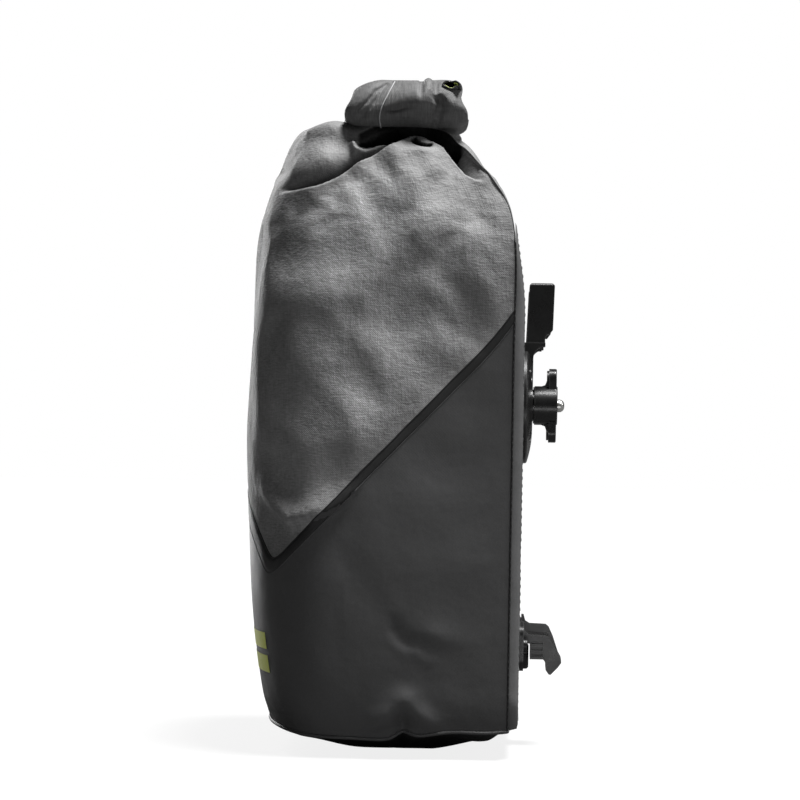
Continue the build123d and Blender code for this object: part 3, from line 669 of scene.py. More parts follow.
# Folds on each side of the bag, as lines in the side view (depth, height). The big panel's edge stands
# proud all along FLAP. FLAP_DROP says how far the cloth behind it drops at each share of the line, and
# FLAP_REACH how soon it comes back out.
FLAP = [(-80, 350), (-68, 352), (-55, 355), (-42, 361), (-30, 369), (-20, 374.5), (-6, 380.5), (1.5, 385.5),
        (6.5, 387), (13, 386), (20, 381), (24, 379), (30.5, 372), (38, 363), (43, 359), (50, 358)]
FLAP_DROP = ([0, 0.08, 0.3, 0.5, 0.6, 0.66, 0.76, 0.84, 0.95, 1],
             [0.0, 6.0, 10.0, 13.0, 16.0, 27.0, 27.0, 15.0, 5.0, 0.0])
FLAP_REACH = ([0, 0.3, 0.45, 0.58, 0.62, 0.76, 0.82, 1], [5.5, 6.0, 7.5, 10.0, 70.0, 70.0, 9.0, 7.0])
POCKET = [(-31, 381.5), (-23, 382), (-17, 383), (-10, 385.5), (-1, 388.5)]
POCKET_HALF = ([0, 0.3, 0.6, 1], [0.6, 1.8, 3.3, 3.6])
BAND = [(-32.5, 379.5), (-31, 376.5), (-26, 376), (-20, 377.5), (-13, 380), (-5.5, 383.5)]
CORNER_RIDGE = [(-89, 167), (-78, 154.5), (-68, 146.5), (-54, 150), (-42, 155.5), (-33, 161.5)]
PINCH = [(-3, 92), (-1.5, 80.5), (1.5, 75.5), (6.5, 72), (13, 71.5), (21, 66)]
PUCKER = [(4, 34), (4.5, 12)]
LIP = [(-60, 388), (-30, 388.5), (-9, 391)]
FAR_SHIFT = 7.0  # the far side's folds lie this much nearer the back, so that the sides aren't alike


def fold(y, z, path, depth, above, below, lip=0.0, lip_at=6.0):
    """Inward valley along a line, deeper towards its end, with a raised lip below it."""
    distance, along = path_distance(y, z, path)
    width = np.where(distance > 0, above, below)
    shape = 1 / np.cosh(np.abs(distance) / width)
    valley = -np.interp(along, *depth) * shape
    return valley + lip * np.sin(along.clip(0, 1) * math.pi / 2) * bump(distance, -lip_at, lip_at * 0.6)


def oval(y, z, centre, radii, tilt=0.0):
    """Hill of height 1 over a tilted oval."""
    c, s = math.cos(math.radians(tilt)), math.sin(math.radians(tilt))
    dy, dz = y - centre[0], z - centre[1]
    return np.exp(-(((dy * c + dz * s) / radii[0]) ** 2) - ((dz * c - dy * s) / radii[1]) ** 2)


def crescent(y, z, edge=0.0):
    """1 in the curved slot under the lobe of cloth at the panel's top; edge widens it."""
    slot = smooth(0.3 - edge, 0.45 - edge, oval(y, z, (9.6, 380.4), (6.4, 3.3), -14))
    return slot * smooth(0.45 + edge, 0.3 + edge, oval(y, z, (11.6, 382.8), (6.0, 2.9), -14))


def neck_folds(y, z):
    """Big panel's edge with its step, the pocket and band behind it, and the slot at its top."""
    distance, along = path_distance(y, z, FLAP)
    drop = np.interp(along, *FLAP_DROP)
    reach = np.interp(along, *FLAP_REACH)
    outside = smooth(-1.8, 1.2, distance)
    move = -drop * outside * np.exp(-distance.clip(0) / reach)
    ends = smooth(0.0, 0.08, along) * smooth(1.0, 0.9, along)
    move += 1.6 * (1 - outside) * np.exp(distance.clip(None, 0) / 4.5) * ends
    gap, share = path_distance(y, z, POCKET)
    half = np.interp(share, *POCKET_HALF)
    inside = smooth(half + 0.5, half - 1.3, np.abs(gap))
    move -= 15.0 * inside * smooth(0.0, 0.12, share) * outside
    band, _ = path_distance(y, z, BAND)
    move += 5.5 * bump(band, 0.0, 2.4) * outside * (1 - inside)
    lip, _ = path_distance(y, z, LIP)
    move += 3.0 * bump(lip, 0.0, 5.0) * (1 - inside)
    move += 4.5 * oval(y, z, (-50.0, 369.0), (20.0, 9.0), 25) * outside
    move += 2.5 * oval(y, z, (40.0, 376.0), (7.0, 12.0), 30) * outside
    move -= 5.0 * crescent(y, z)
    move += 1.8 * oval(y, z, (9.5, 374.0), (9.0, 3.2)) + 1.0 * oval(y, z, (11.6, 383.0), (4.5, 2.4), -14)
    return move - 2.0 * oval(y, z, (14.5, 384.5), (3.0, 2.5), -40)


def painted_neck_shade(y, z):
    """How much shade is painted into the cloth, up to 1, deep in the neck's folds and under the roll."""
    distance, along = path_distance(y, z, FLAP)
    behind = smooth(0.0, 1.0, distance)
    deep = np.interp(along, *FLAP_DROP) * np.exp(-distance.clip(0) / np.interp(along, *FLAP_REACH))
    step = smooth(6, 14, deep) * behind
    gap, share = path_distance(y, z, POCKET)
    half = np.interp(share, *POCKET_HALF) + np.where(gap > 0, 4.0, 0.0)
    pocket = smooth(half + 0.8, half - 0.6, np.abs(gap)) * smooth(0.0, 0.1, share)
    under_roll = smooth(386.5, 388.5, z) * smooth(-16, -9, y) * behind
    # Painted shadow just behind the big panel's edge.
    valley = 0.97 * smooth(8.0, 0.5, distance) * smooth(0.0, 0.8, distance)
    valley = valley * smooth(0.02, 0.2, along) * smooth(0.52, 0.4, along)
    return np.max([step, pocket, under_roll, valley, crescent(y, z, 0.08)], axis=0)


def panel_folds(y, z):
    """Ridge over the seam's corner, and the pinch, pucker and soft lobes lower down."""
    distance, along = path_distance(y, z, CORNER_RIDGE)
    height = np.interp(along, [0, 0.25, 0.7, 1], [3.0, 6.0, 6.0, 3.0])
    move = height * np.where(distance > 0, np.exp(-(distance / 9.0) ** 2), np.exp(-(distance / 3.2) ** 2))
    move += fold(y, z, PINCH, ([0, 0.3, 0.6, 1], [0.0, 1.5, 1.6, 0.0]), 5.0, 1.8, 0.3, 5.0)
    lobes = 3.6 * oval(y, z, (-6.5, 28.0), (16.0, 7.0), 42)
    move += lobes + 2.8 * oval(y, z, (15.0, 28.0), (14.0, 6.5), -42)
    move += 1.0 * oval(y, z, (4.5, 40.0), (10.0, 5.0))
    move += fold(y, z, PUCKER, ([0, 1], [0.3, 5.0]), 2.4, 2.4)
    return move + 1.2 * oval(y, z, (24.0, 78.0), (12.0, 7.0), -20)


def side_folds(points, near):
    """How far each point of one side moves out, from its folds."""
    y, z = points[..., 1], points[..., 2]
    shift = 0.0 if near else FAR_SHIFT
    return neck_folds(y - shift, z) + panel_folds(y - shift * 2, z)


def fold_body(points, normals):
    """Moves body points along their normals, for dents, folds and slack."""
    x, y, z = points[..., 0], points[..., 1], points[..., 2]
    side_face = smooth(0.1, 0.5, np.abs(normals[..., 0]))
    move = np.where(x > 0, side_folds(points, True), side_folds(points, False)) * side_face
    held = smooth(0, 14, BACK - y)  # the board holds the back flat
    upper = smooth(-12, 12, z - seam_height(y))
    dents = 1.1 * ripples(points, 90, 3) + 0.65 * ripples(points, 40, 5, stretch=(1, 1, 1.5))
    top = smooth(300, 370, z)
    slack = dents * (0.25 + 0.75 * upper) * (0.35 + 0.65 * side_face)
    calm = 1 - 0.7 * top * smooth(-30, -60, y)
    move += held * calm * (slack + 0.8 * top * ripples(points, 24, 11))
    move *= smooth(8, 22, z)
    return points + normals * move[..., None]


COLUMNS = make_columns((24, 96, 106))
SEAM_Q = seam_q(COLUMNS)
TAPE_Q = seam_q(COLUMNS, TAPE_WIDTH)


def outwards(normals, points):
    """The normals of points on the body, turned to point out of it."""
    sign = np.sign((normals * (points - CORE)).sum(axis=-1, keepdims=True))
    return normals * np.where(sign == 0, 1, sign)


def folded_body(q, columns):
    """Body points with their folds, for rows q[row, column]."""
    kind, s, side = (np.broadcast_to(a, q.shape) for a in columns)
    points = body_surface(q, kind, s, side)
    nudge = 0.02
    rise = body_surface(q + nudge, kind, s, side) - body_surface(q - nudge, kind, s, side)
    normals = unit(np.cross(np.gradient(points, axis=1), rise))
    return fold_body(points, outwards(normals, points))


# ---- settling under the load --------------------------------------------------------------

SIM_ROWS = 120
SIM_SKIP = 3  # every third column of the finished cloth
SIM_FRAMES = 20
SIM_CAP = 8.0  # farthest that a point may move
SIM_TOP = 7.6  # the gathered neck above this outline is left as it is folded
SIM_PRESSURE = 1.5
SIM_SLACK = 0.03
SIM_BENDING = 0.6
SWELL = 0.15  # share of the broad swelling that is kept: the outlines are already the filled ones
BROAD = 120  # smoothing passes that leave only the broad swelling
LOWER_GAIN, UPPER_GAIN = 0.12, 0.55  # share of the movement that each fabric keeps


def run_cloth(points, hold):
    """Where a grid of cloth ends up when it is filled from inside; hold is 1 where it can't move."""
    rows, columns = points.shape[:2]
    piece = grid_piece("settling", points, LOWER)
    group = piece.vertex_groups.new(name="hold")
    for index, weight in enumerate(hold.ravel()):
        group.add([index], float(weight), "REPLACE")
    cloth = piece.modifiers.new("settle", "CLOTH")
    settings = cloth.settings
    settings.quality = 6
    settings.mass = 0.25
    settings.tension_stiffness = 20
    settings.compression_stiffness = 20
    settings.shear_stiffness = 8
    settings.bending_stiffness = SIM_BENDING
    settings.use_pressure = True
    settings.uniform_pressure_force = SIM_PRESSURE
    settings.shrink_min = -SIM_SLACK
    settings.vertex_group_mass = "hold"
    settings.pin_stiffness = 5
    settings.effector_weights.gravity = 0
    cloth.point_cache.frame_end = SIM_FRAMES
    for number in range(1, SIM_FRAMES + 1):
        bpy.context.scene.frame_set(number)
    settled = piece.evaluated_get(bpy.context.evaluated_depsgraph_get()).to_mesh()
    moved = np.empty(rows * columns * 3)
    settled.vertices.foreach_get("co", moved)
    mesh = piece.data
    bpy.data.objects.remove(piece)
    bpy.data.meshes.remove(mesh)
    bpy.context.scene.frame_set(1)
    return moved.reshape(rows, columns, 3) / MM


def blur(field, passes):
    """Smooths a grid of vectors."""
    for _ in range(passes):
        wide = np.pad(field, ((1, 1), (1, 1), (0, 0)), mode="edge")
        field = (wide[:-2, 1:-1] + wide[2:, 1:-1] + wide[1:-1, :-2] + wide[1:-1, 2:] + 4 * field) / 8
    return field


def settle():
    """Columns of a coarse grid of the body, and how far each of its points moves once it is filled."""
    index = np.arange(0, len(COLUMNS[0]), SIM_SKIP)
    columns = tuple(a[index] for a in COLUMNS)
    steps = np.linspace(0, LAST, SIM_ROWS)
    start = folded_body(np.repeat(steps[:, None], len(index), axis=1), columns)
    # Held along the back, at the neck and at the bottom seam.
    hold = np.maximum(smooth(16, 4, BACK - start[..., 1]), smooth(SIM_TOP - 1.0, SIM_TOP, steps)[:, None])
    hold = np.maximum(hold, smooth(0.35, 0.0, steps)[:, None])
    shift = run_cloth(start, hold) - start
    length = np.linalg.norm(shift, axis=-1, keepdims=True)
    shift *= SIM_CAP * np.tanh(length / SIM_CAP) / (length + 1e-9)
    shift = blur(shift, 1)
    shift -= (1 - SWELL) * blur(shift, BROAD)
    upper = smooth(-10, 25, start[..., 2] - seam_height(start[..., 1]))
    gain = LOWER_GAIN + (UPPER_GAIN - LOWER_GAIN) * upper
    return index, shift * ((1 - hold) * gain)[..., None]


SETTLED = settle()


def settled_shift(q):
    """The settled movement read at rows q of the finished cloth."""
    index, shift = SETTLED
    at = np.arange(q.shape[1])
    left = np.clip(at // SIM_SKIP, 0, len(index) - 2)
    t = ((at - index[left]) / SIM_SKIP)[None, :, None]
    row = np.clip(q / LAST * (SIM_ROWS - 1), 0, SIM_ROWS - 1.001)
    low = np.floor(row).astype(int)
    u = (row - low)[..., None]
    lefts = np.broadcast_to(left, q.shape)
    here = shift[low, lefts] * (1 - u) + shift[low + 1, lefts] * u
    there = shift[low, lefts + 1] * (1 - u) + shift[low + 1, lefts + 1] * u
    return here * (1 - t) + there * t


def body_grid(q):
    """Finished body points for rows q[row, column]."""
    points = folded_body(q, COLUMNS)
    return points if SETTLED is None else points + settled_shift(q)


def rows_between(low, high, count, crowd=1.0):
    """Rows of q from low to high, each a value for every column, closer together near the top."""
    share = (1 - (1 - np.linspace(0, 1, count)) ** crowd)[:, None]
    return low[None] * (1 - share) + high[None] * share


def body_cloth(q):
    """Cloth coordinates: distance round the bag and up its side, in metres, and the neck's painted shade.
    """
    u = distances(body_surface(np.full(len(COLUMNS[0]), HALF_WAY), *COLUMNS))
    count = 400
    steps = np.linspace(0, LAST, count)
    side_line = body_surface(steps, np.full(count, 1), np.full(count, 0.5), np.ones(count))
    v = np.interp(q, steps, distances(side_line))
    flat = body_surface(q, *(np.broadcast_to(a, q.shape) for a in COLUMNS))
    # Painted shade in the neck's folds, carried as the third cloth coordinate.
    shade = painted_neck_shade(flat[..., 1] - np.where(flat[..., 0] > 0, 0, FAR_SHIFT), flat[..., 2])
    shade = shade * (COLUMNS[0] > 0)  # none on the back panel
    return np.stack([np.broadcast_to(u, q.shape) * MM, v * MM, shade], axis=-1)


def make_body():
    """Lower and upper fabric, meeting at the seam. Gives the lower one's points back."""
    columns = len(COLUMNS[0])
    start = np.zeros(columns)
    end = np.full(columns, float(LAST))
    lower_q = rows_between(start, SEAM_Q, 130)
    upper_q = rows_between(SEAM_Q, end, 215, 1.45)
    lower = body_grid(lower_q)
    piece = grid_piece("lower_fabric", lower, LOWER, cloth=body_cloth(lower_q))
    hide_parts("lower_shell")
    piece = grid_piece("upper_fabric", body_grid(upper_q), UPPER, cloth=body_cloth(upper_q))
    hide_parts("upper_shell")
    return lower


LOWER_GRID = make_body()


def outward_normals(grid):
    """Unit normals of a grid on the body, pointing out of it."""
    return outwards(grid_normals(grid), grid)


def raise_strip(low, high, lift, count=7):
    """Grid of a thin strip laid on the body between two rows of q, with tucked edges."""
    grid = body_grid(rows_between(low, high, count))
    profile = np.full(count, lift)
    profile[[0, -1]] = -0.2
    return grid + outward_normals(grid) * profile[:, None, None]


def make_seams():
    """Welded tape along the slanted seam, between two fine lines."""
    tape = raise_strip(TAPE_Q, SEAM_Q, 0.45)
    piece = grid_piece("seam_tape", tape, TAPE)
    edge = body_grid(rows_between(TAPE_Q, SEAM_Q, 2))
    tube_piece("seam_line_low", edge[0], 0.35, THREAD, sides=6, across=(0, 0, 1))
    tube_piece("seam_line_high", edge[1], 0.45, DARK_THREAD, sides=6, across=(0, 0, 1))


make_seams()


PRINT_BARS = {"upper": (65.0, 75.5, -82.4), "lower": (50.0, 61.0, -80.3)}  # low, high, nearest the back
PRINT_START = 14.0  # how far from the middle of the front the bars begin
PRINT_LIFT = 0.25


def on_lower_fabric(columns, height):
    """Points of the lower fabric at one height, for the given columns."""
    lines = [LOWER_GRID[:, c] for c in columns]
    return np.array([[np.interp(height, line[:, 2], line[:, k]) for k in range(3)] for line in lines])


def make_print():
    """Two plain lime bars in place of lettering, from the near front corner round onto the front."""
    kind, _, side = COLUMNS
    front = np.flatnonzero((kind == 2) & (side > 0))
    for name, (low, high, end) in PRINT_BARS.items():
        middle = on_lower_fabric(front, (low + high) / 2)
        columns = front[(middle[:, 1] < end) & (middle[:, 0] > PRINT_START)]
        grid = np.array([on_lower_fabric(columns, height) for height in np.linspace(low, high, 9)])
        piece = grid_piece(f"print_bar_{name}", grid + PRINT_LIFT * outward_normals(grid), LIME)


make_print()


def make_back_piping():
    """Dark stitched seam where the sides meet the back, and a finer one from there to the neck."""
    at = int(np.argmax(COLUMNS[0] == 1))
    q = np.linspace(0, 9.0, 160)[:, None] * np.ones(len(COLUMNS[0]))[None]
    grid = body_grid(q)
    for name, side, column in (("right", 1, at), ("left", -1, len(COLUMNS[0]) - 1 - at)):
        line = grid[:, column]
        low = line[line[:, 2] < 322]
        high = line[line[:, 2] > 318]
        tube_piece(f"back_seam_{name}", low, 0.6, DARK_THREAD)
        stitched = low + np.array([0.45 * side, 0, 0])
        stitch_row(f"back_stitches_{name}", stitched, (side, 0, 0), DARK_THREAD, 2.8, 1.3, 0.38)
        tube_piece(f"shoulder_seam_{name}", high, 0.3, THREAD)


make_back_piping()


def make_base():
    """Soft base that hangs below its seam and rests flat in the middle."""
    rim = body_grid(np.zeros((2, len(COLUMNS[0]))))[0]
    middle = np.array([0, -8.0, 0])
    landing = 0.62  # share of the way in where the base meets the ground
    rows = []
    for share in np.linspace(0, 1, 40):
        inward = 1 - share
        ring_points = middle + (rim - middle) * np.array([inward, inward, 0])
        drop = np.clip(1 - share / landing, 0, 1) ** 1.15
        ring_points[:, 2] = rim[:, 2] * drop
        ring_points[:, 2] += 1.2 * ripples(ring_points, 40, 21) * bump(share, 0.15, 0.12) * drop
        rows.append(ring_points)
    grid = np.array(rows)
    grid[..., 2] = grid[..., 2].clip(0.05)
    piece = grid_piece("base_fabric", grid, BASE, flip=True)
    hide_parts("base_panel")
    welt = np.vstack([rim[1:-1], rim[1:2]])
    tube_piece("base_welt", welt, 1.2, LOWER, across=(0, 0, 1))


make_base()

# ---- back board ---------------------------------------------------------------------------

BOARD_LOW, BOARD_HIGH = box_mm("back_board")
BOARD_TOP = BOARD_HIGH[2] + 14.0
BOARD_FOOT = 12.0  # height of its lower edge
BOARD_HALF = 97.0  # half width there
BOARD_EASE = 268.0  # above this height it eases into the shoulder
BOARD_RADIUS = 22.0
BOARD_ROLL = 4.5  # how wide its edge rounds over
BORDER_INSET = 7.0
BORDER_RADIUS = 16.0


def board_half(z):
    """Half width of the board, which widens by 21 mm over 303 mm of height."""
    return BOARD_HALF + (z - BOARD_FOOT) * 21 / 303


def rounded_outline(low_half, high_half, low_z, high_z, corner):
    """Closed outline of a tapered panel with round corners, in X and Z."""
    points = []
    arc = np.radians(np.linspace(0, 90, 10))
    for start, half, z, side in ((-90, low_half, low_z, 1), (0, high_half, high_z, 1),
                                 (90, high_half, high_z, -1), (180, low_half, low_z, -1)):
        centre = (side * (half - corner), z + corner if z == low_z else z - corner)
        for angle in arc + math.radians(start):
            points.append((centre[0] + corner * math.cos(angle), centre[1] + corner * math.sin(angle)))
    points.append(points[0])
    path = np.array([(x, 0.0, z) for x, z in points])
    marks = np.linspace(0, resample(path, [0])[1], 500)
    return resample(path, marks)[0][:, [0, 2]]


def board_grid(columns=90, rows=120):
    """Face of the board: flat where the hooks sit, and eased into the shoulder above them."""
    face, seat = BOARD_HIGH[1], BOARD_LOW[1]
    u = np.linspace(-1, 1, columns)
    grid = np.zeros((rows, columns, 3))
    for r, share in enumerate(np.linspace(0, 1, rows)):
        z = BOARD_LOW[2] + share * (BOARD_TOP - BOARD_LOW[2])
        half = board_half(z)
        near = min(z - BOARD_LOW[2], BOARD_TOP - z)
        if near < BOARD_RADIUS:
            half -= BOARD_RADIUS - math.sqrt(BOARD_RADIUS**2 - (BOARD_RADIUS - near) ** 2)
        depth = (face - seat) * (1 - 0.95 * smooth(BOARD_EASE, BOARD_TOP + 4, z) ** 1.4)
        x = half * np.sin(u * math.pi / 2)
        edge = np.minimum(half - np.abs(x), near)
        rounding = np.sqrt(np.clip(1 - (1 - np.clip(edge / BOARD_ROLL, 0, 1)) ** 2, 0, 1))
        grid[r] = np.stack([x, seat - 0.5 + (depth + 0.5) * rounding, np.full(columns, z)], axis=1)
    slack = smooth(8, 0, np.abs(grid[..., 1] - face)) * smooth(60, 95, np.abs(grid[..., 0]))
    grid[..., 1] += 0.35 * slack * ripples(grid, 50, 31).clip(-1, 0)
    return grid


def make_board():
    """Fabric-covered board with a stitched border."""
    grid = board_grid()
    piece = grid_piece("board_fabric", grid, BOARD, flip=True)
    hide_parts("back_board")
    low_z, high_z = BOARD_LOW[2] + BORDER_INSET, BOARD_TOP - BORDER_INSET
    low_half, high_half = board_half(BOARD_FOOT) - BORDER_INSET, board_half(high_z) - BORDER_INSET
    border = []
    for x, z in rounded_outline(low_half, high_half, low_z, high_z, BORDER_RADIUS):
        row = int(round((z - BOARD_LOW[2]) / (BOARD_TOP - BOARD_LOW[2]) * (len(grid) - 1)))
        border.append((x, np.interp(x, grid[row, :, 0], grid[row, :, 1]), z))
    stitch_row("board_stitches", border, (0, 1, 0), BOARD_THREAD, 3.2, 1.6, 0.3)


make_board()

# ---- roll-top -----------------------------------------------------------------------------

ROLL_LOW, ROLL_HIGH = box_mm("roll_top")
ROLL_WIDTH = ROLL_HIGH[1] - ROLL_LOW[1]
ROLL_THICK = 12.5
ROLL_Y = (ROLL_HIGH[1] + ROLL_LOW[1]) / 2
ROLL_TIP = 51.0  # how far from the middle the turned-back ends stop
ROLL_MIDDLE = (ROLL_HIGH[2] + ROLL_LOW[2]) / 2
ROLL_RADIUS = (ROLL_HIGH[2] - ROLL_LOW[2]) / 2  # outer radius of the turn at each end


def roll_path():
    """Middle line of the rolled band, from one turned-back end to the other, in X and Z, with finer
    steps round the ends."""
    turn = ROLL_RADIUS - ROLL_THICK / 2
    centre_x = ROLL_HIGH[0] - ROLL_RADIUS
    straight = centre_x - ROLL_TIP
    arc = math.pi * turn
    total = 2 * straight + 2 * arc + 2 * centre_x
    marks = np.array([0, straight, straight + arc, total - straight - arc, total - straight, total])
    counts = (16, 60, 44, 60, 16)
    stretches = [np.linspace(a, b, n, endpoint=False) for a, b, n in zip(marks[:-1], marks[1:], counts)]
    points = []
    for d in np.append(np.concatenate(stretches), total):
        side = -1 if d < total / 2 else 1
        e = d if side < 0 else total - d
        if e < straight:
            x, z = ROLL_TIP + e, ROLL_MIDDLE + turn
        elif e < straight + arc:
            angle = (e - straight) / turn
            x, z = centre_x + turn * math.sin(angle), ROLL_MIDDLE + turn * math.cos(angle)
        else:
            x, z = centre_x - (e - straight - arc), ROLL_MIDDLE - turn
        points.append((side * x, z))
    return np.array(points)


def even_line(points, step, fine):
    """A line resampled at even steps. If fine is given, they are four times as wide past that length."""
    points = np.array(points)
    length = distances(points)
    marks = np.arange(0, fine, step)
    marks = np.concatenate([marks, np.arange(fine, length[-1], step * 4 if fine else step), length[-1:]])
    return np.stack([np.interp(marks, length, points[:, k]) for k in range(2)], axis=1)


def roll_spiral(turns=2.3, cloth=1.0, pitch=1.55, samples=400):
    """Closed outline of one flattened spiral of cloth: [depth, thickness]."""
    outer, inner = [], []
    for angle in np.linspace(0, 2 * math.pi * turns, int(turns * samples)):
        shrink = pitch * angle / (2 * math.pi)
        half, r = ROLL_WIDTH / 2 - shrink, ROLL_THICK / 2 - shrink
        for line, inset in ((outer, 0), (inner, cloth)):
            a, b = half - inset, r - inset
            c, s = math.cos(angle), math.sin(angle)
            line.append((math.copysign(abs(c) ** 0.45, c) * a, math.copysign(abs(s) ** 0.8, s) * b))
    return np.vstack([even_line(outer, 1.1, 185), even_line(inner, 6.0, 0)[::-1]])


# Lines on the turned-back end in the side view (depth, height).
SEAM_ON_ROLL = [(-12, 420.0), (-16.5, 410.0), (-20, 400.0), (-20, 391.0)]
PLEATS = [[(-38.0, 398.0), (-26.0, 413.0), (-14.0, 420.0)],
          [(-37.0, 391.0), (-27.0, 404.0), (-18.0, 418.0)]]
WRINKLE = [(-18.0, 401.6), (-8.0, 402.0), (2.0, 404.5)]
GROOVE = [(19.0, 414.0), (19.5, 406.0), (16.0, 398.0), (16.0, 391.0)]


def end_face(y, z):
    """How far the turned-back end stands out at each point, from its pleats, wrinkle, dent and lobes."""
    move = 1.3 * ripples(np.stack([0 * y, y, z], axis=-1), 34, 43)
    for line in PLEATS:
        distance, along = path_distance(y, z, line)
        move = move - 2.0 * np.exp(-np.abs(distance) / 1.4) * smooth(0, 0.3, along)
    distance, along = path_distance(y, z, WRINKLE)
    above = np.where(distance > 0, 1.0, 3.0)
    move -= 4.0 * np.exp(-np.abs(distance) / above) * np.sin(math.pi * along.clip(0.05, 0.95))
    distance, along = path_distance(y, z, GROOVE)
    move -= 4.5 * np.exp(-((distance / 3.4) ** 2)) * smooth(0, 0.2, along)
    move += 1.8 * oval(y, z, (8.0, 408.0), (7.0, 6.0))
    return move - 4.0 * oval(y, z, (-6.0, 393.0), (10.0, 3.0))


def shape_roll(points):
    """Bends and wrinkles of the rolled band, as one smooth deformation of space."""
    x, y, z = points[..., 0].copy(), points[..., 1].copy(), points[..., 2].copy()
    end = smooth(62, 100, np.abs(x))
    up = smooth(400, 417, z)
    out = np.sign(x) * end
    x = x + out * end_face(y, z)
    # Towards its ends the band lies farther back and is narrower.
    y = y + smooth(15, 55, np.abs(x)) * (3.4 - (y + 4.0) * (0.03 + 0.12 * up))
    y = y - 8.0 * smooth(30, -50, x) * smooth(5, 38, y)  # the far end is rolled a little tighter
    # The turned-back end: its underside hangs, its top slopes off both ways, and a ply shows between
    # two grooves.
    z = z - 1.6 * end * (1 - up) + 1.4 * end * (1 - up) * bump(y, 0.0, 16.0)
    z = z - end * up * (5.0 * smooth(-14, -38, y) + 5.5 * smooth(16, 36, y))
    z = z + end * up * (1.8 * bump(y, 13.4, 2.6) - 2.6 * bump(y, 9.3, 1.2) - 2.6 * bump(y, 18.0, 2.0))
    soft = np.stack([x, y, z], axis=-1)
    lump = ripples(soft, 60, 41)
    z = z + lump * (0.5 + 0.7 * up) * (1 - 0.6 * end)
    y = y + 0.8 * ripples(soft, 55, 47) * (1 - 0.5 * end)
    return np.stack([x, y, z], axis=-1)


def make_roll():
    """The rolled mouth: a flattened spiral of cloth swept along the band, then bent and wrinkled."""
    path = roll_path()
    section = roll_spiral()
    tangent = unit(np.gradient(path, axis=0))
    normal = np.stack([tangent[:, 1], -tangent[:, 0]], axis=1)
    points = np.zeros((len(path), len(section), 3))
    points[..., 0] = path[:, None, 0] + section[None, :, 1] * normal[:, None, 0]
    points[..., 2] = path[:, None, 1] + section[None, :, 1] * normal[:, None, 1]
    points[..., 1] = ROLL_Y + section[None, :, 0]
    points = shape_roll(points)
    rows, columns = points.shape[:2]
    faces = grid_faces(rows, columns, wrap=True)
    for base, flip in ((0, False), ((rows - 1) * columns, True)):
        cap = tuple(range(base, base + columns))
        faces.append(cap[::-1] if flip else cap)
    u, v = np.meshgrid(distances(section), distances(path))
    # Painted shade at the bottom of each turned-back end, where it meets the neck, carried as the third
    # cloth coordinate.
    mouth = oval(ROLL_Y + section[None, :, 0], points[..., 2], (-4.0, 390.0), (15.0, 3.4))
    shade = smooth(0.35, 0.7, mouth) * smooth(85, 98, np.abs(points[..., 0]))
    cloth = np.stack([v * MM, u * MM, shade], axis=-1).reshape(-1, 3)
    piece = mesh_piece("roll_top_fabric", points.reshape(-1, 3), faces, ROLL_CLOTH_SHADED, "bag", cloth)
    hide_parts("roll_top")


make_roll()


def on_roll_end(y, z, side):
    """Points on the outer face of the roll's end, at depth y and height z."""
    across = np.sqrt((ROLL_RADIUS**2 - (z - ROLL_MIDDLE) ** 2).clip(0))
    x = side * (ROLL_HIGH[0] - ROLL_RADIUS + across)
    return shape_roll(np.stack([x, y, z], axis=-1))


def make_roll_trim():
    """Pale stitched seam across each end."""
    line = np.array(SEAM_ON_ROLL)
    t = np.linspace(0, 3, 60)
    y, z = hermite(line[:, 0], t), hermite(line[:, 1], t)
    for name, side in (("right", 1), ("left", -1)):
        path = on_roll_end(y, z, side)
        path[:, 0] += side * 0.1
        piece = tube_piece(f"roll_seam_{name}", path, 0.35, PALE_THREAD, across=(0, 1, 0), sides=6)


CURL_MIDDLE = np.array([27.3, 417.4])
CURL_START = 72.0
CURL_LENGTH = 27.0


def curl_sheet(name, radii, turns, inset, material):
    """Short curled strip of cloth along X, closed at its edges."""
    steps, stations = 60, 16
    angles = np.linspace(math.radians(turns[0]), math.radians(turns[1]), steps)
    shrink = 1 - 0.25 * np.linspace(0, 1, steps)
    line = np.stack([radii[0] * np.cos(angles), radii[1] * np.sin(angles)], axis=1) * shrink[:, None]
    outline = CURL_MIDDLE + np.vstack([line, line[::-1] * 0.78])
    rows = []
    for share in np.linspace(0, 1, stations):
        x = CURL_START + (CURL_LENGTH - inset) * share + 0.8 * np.sin(outline[:, 0] * 0.6) * share
        wobble = 0.4 * np.sin(share * 9 + outline[:, 0])
        rows.append(np.stack([x, outline[:, 0], outline[:, 1] + wobble * share], axis=1))
    grid = np.array(rows)
    count = grid.shape[1]
    faces = grid_faces(stations, count, wrap=True)
    last = (stations - 1) * count
    for k in range(steps - 1):
        faces.append((last + k, last + k + 1, last + count - 2 - k, last + count - 1 - k))
    for k in range(steps - 1):
        faces.append((k, count - 1 - k, count - 2 - k, k + 1))
    cloth = cloth_lengths(grid).reshape(-1, 3)
    piece = mesh_piece(name, grid.reshape(-1, 3), faces, material, "bag", cloth)


make_roll_trim()
# The curled end of the innermost ply, and its lime lining.
curl_sheet("roll_curl", (6.6, 2.8), (-30, 330), 0.0, ROLL_CLOTH_SHADED)
curl_sheet("roll_curl_lining", (5.4, 1.9), (-160, 60), 0.6, LINING)

# ---- webbing ------------------------------------------------------------------------------


def ribbon(name, path, width, thickness, material, across, replaces=None, body="bag"):
    """Webbing swept along a path, its width lying across."""
    piece = sweep_piece(name, path, strap_section(width, thickness), across, material, body)
    if replaces:
        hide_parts(replaces)
    return piece


def loop_path(bar, end, height, lift, y):
    """From the roll's end, round a bar and back: a flat loop of webbing in X and Z."""
    direction = math.copysign(1, end - bar)
    points = [(end, height + lift)]
    points += [(x, height + lift) for x in np.linspace(end, bar, 12)[1:]]
    for angle in np.linspace(0, math.pi, 12)[1:]:
        points.append((bar - direction * lift * math.sin(angle), height + lift * math.cos(angle)))
    points += [(x, height - lift) for x in np.linspace(bar, end, 12)[1:]]
    return np.array([(x, y, z) for x, z in points])


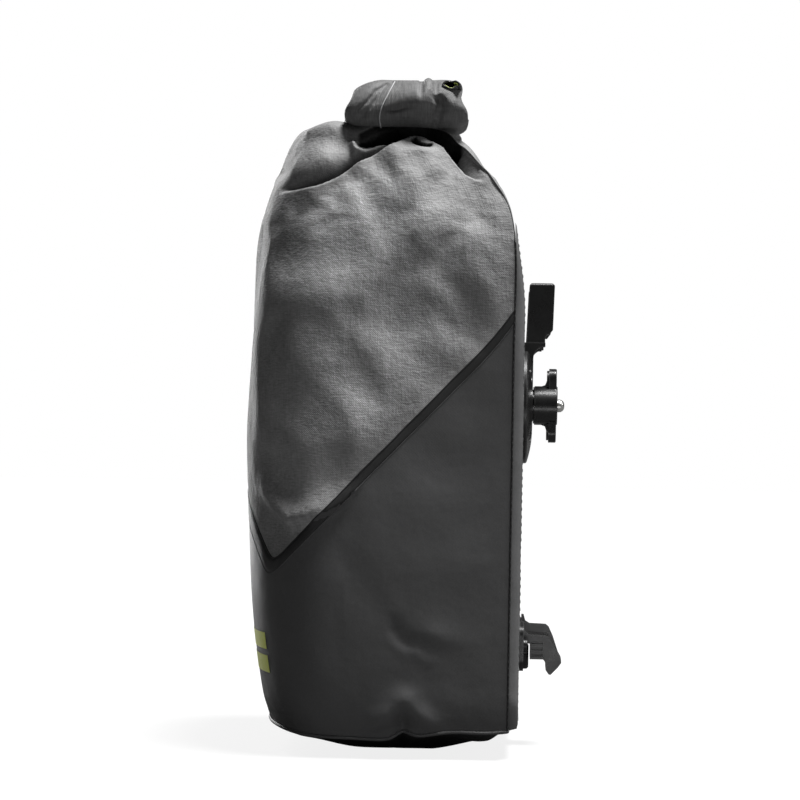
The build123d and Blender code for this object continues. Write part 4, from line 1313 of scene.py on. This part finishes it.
def make_closure_webbing():
    """Loop of webbing from each turned-back end to its half of the buckle."""
    inset, lift, thickness = 2.7, 2.1, 1.1
    for side in ("left", "right"):
        low, high = box_mm(f"webbing_{side}")
        bar, end = low[0] + inset, high[0] - inset
        if side == "left":
            bar, end = end, bar
        middle = (low[2] + high[2]) / 2
        path = loop_path(bar, end, middle, lift, (low[1] + high[1]) / 2)
        name = f"closure_webbing_{side}"
        piece = ribbon(name, path, high[1] - low[1], thickness, STRAP, (0, 1, 0), f"webbing_{side}")
        if side == "right":
            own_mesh(piece)


make_closure_webbing()


def make_handle():
    """Two plies of webbing between the strap anchors, bowed outwards."""
    low, high = box_mm("handle_strap")
    middle = (low[2] + high[2]) / 2
    inset, bow = 3.8, 3.5
    pin = high[0] - inset
    seat = low[1] + inset
    for name, shift in (("inner", -1.0), ("outer", 1.0)):
        x = np.linspace(-pin, pin, 60)
        y = seat + shift * 1.15 * (0.9 + 0.25 * bump(x, 0, 30)) + bow * (1 - (x / pin) ** 2)
        path = np.stack([x, y, np.full(len(x), middle)], axis=1)
        piece = ribbon(f"handle_strap_{name}", path, high[2] - low[2], 1.7, STRAP, (0, 0, 1))
        if name == "inner":
            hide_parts("handle_strap")


make_handle()

# ---- finishes of the CAD nodes ------------------------------------------------------------

FINISHES = {
    HARDWARE: ["hook_plate_left", "hook_plate_right", "handle_anchor_left", "handle_anchor_right",
               "lower_claw"],
    KNOB: ["lock_knob_left", "lock_knob_right"],
    BUCKLE: ["buckle_socket", "buckle_tongue", "buckle_prong_front", "buckle_prong_back"],
    STEEL: ["stud_left", "stud_right", "stud_washer_left", "stud_washer_right", "hook_plate_nuts",
            "claw_nuts"],
    BLACKED: ["thrust_washer_left", "thrust_washer_right", "hook_plate_screws", "anchor_pins",
              "anchor_screws", "claw_screws"],
    BRASS: ["knob_insert_left", "knob_insert_right"],
    RUBBER: ["claw_bumper"],
    SHEET: ["stiffener_sheet", "lip_stiffener"],
}


def finish_nodes():
    """Gives each CAD node that stays its material."""
    for material, names in FINISHES.items():
        for name in names:
            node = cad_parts[name]
            node.data.materials.clear()
            node.data.materials.append(material)


finish_nodes()
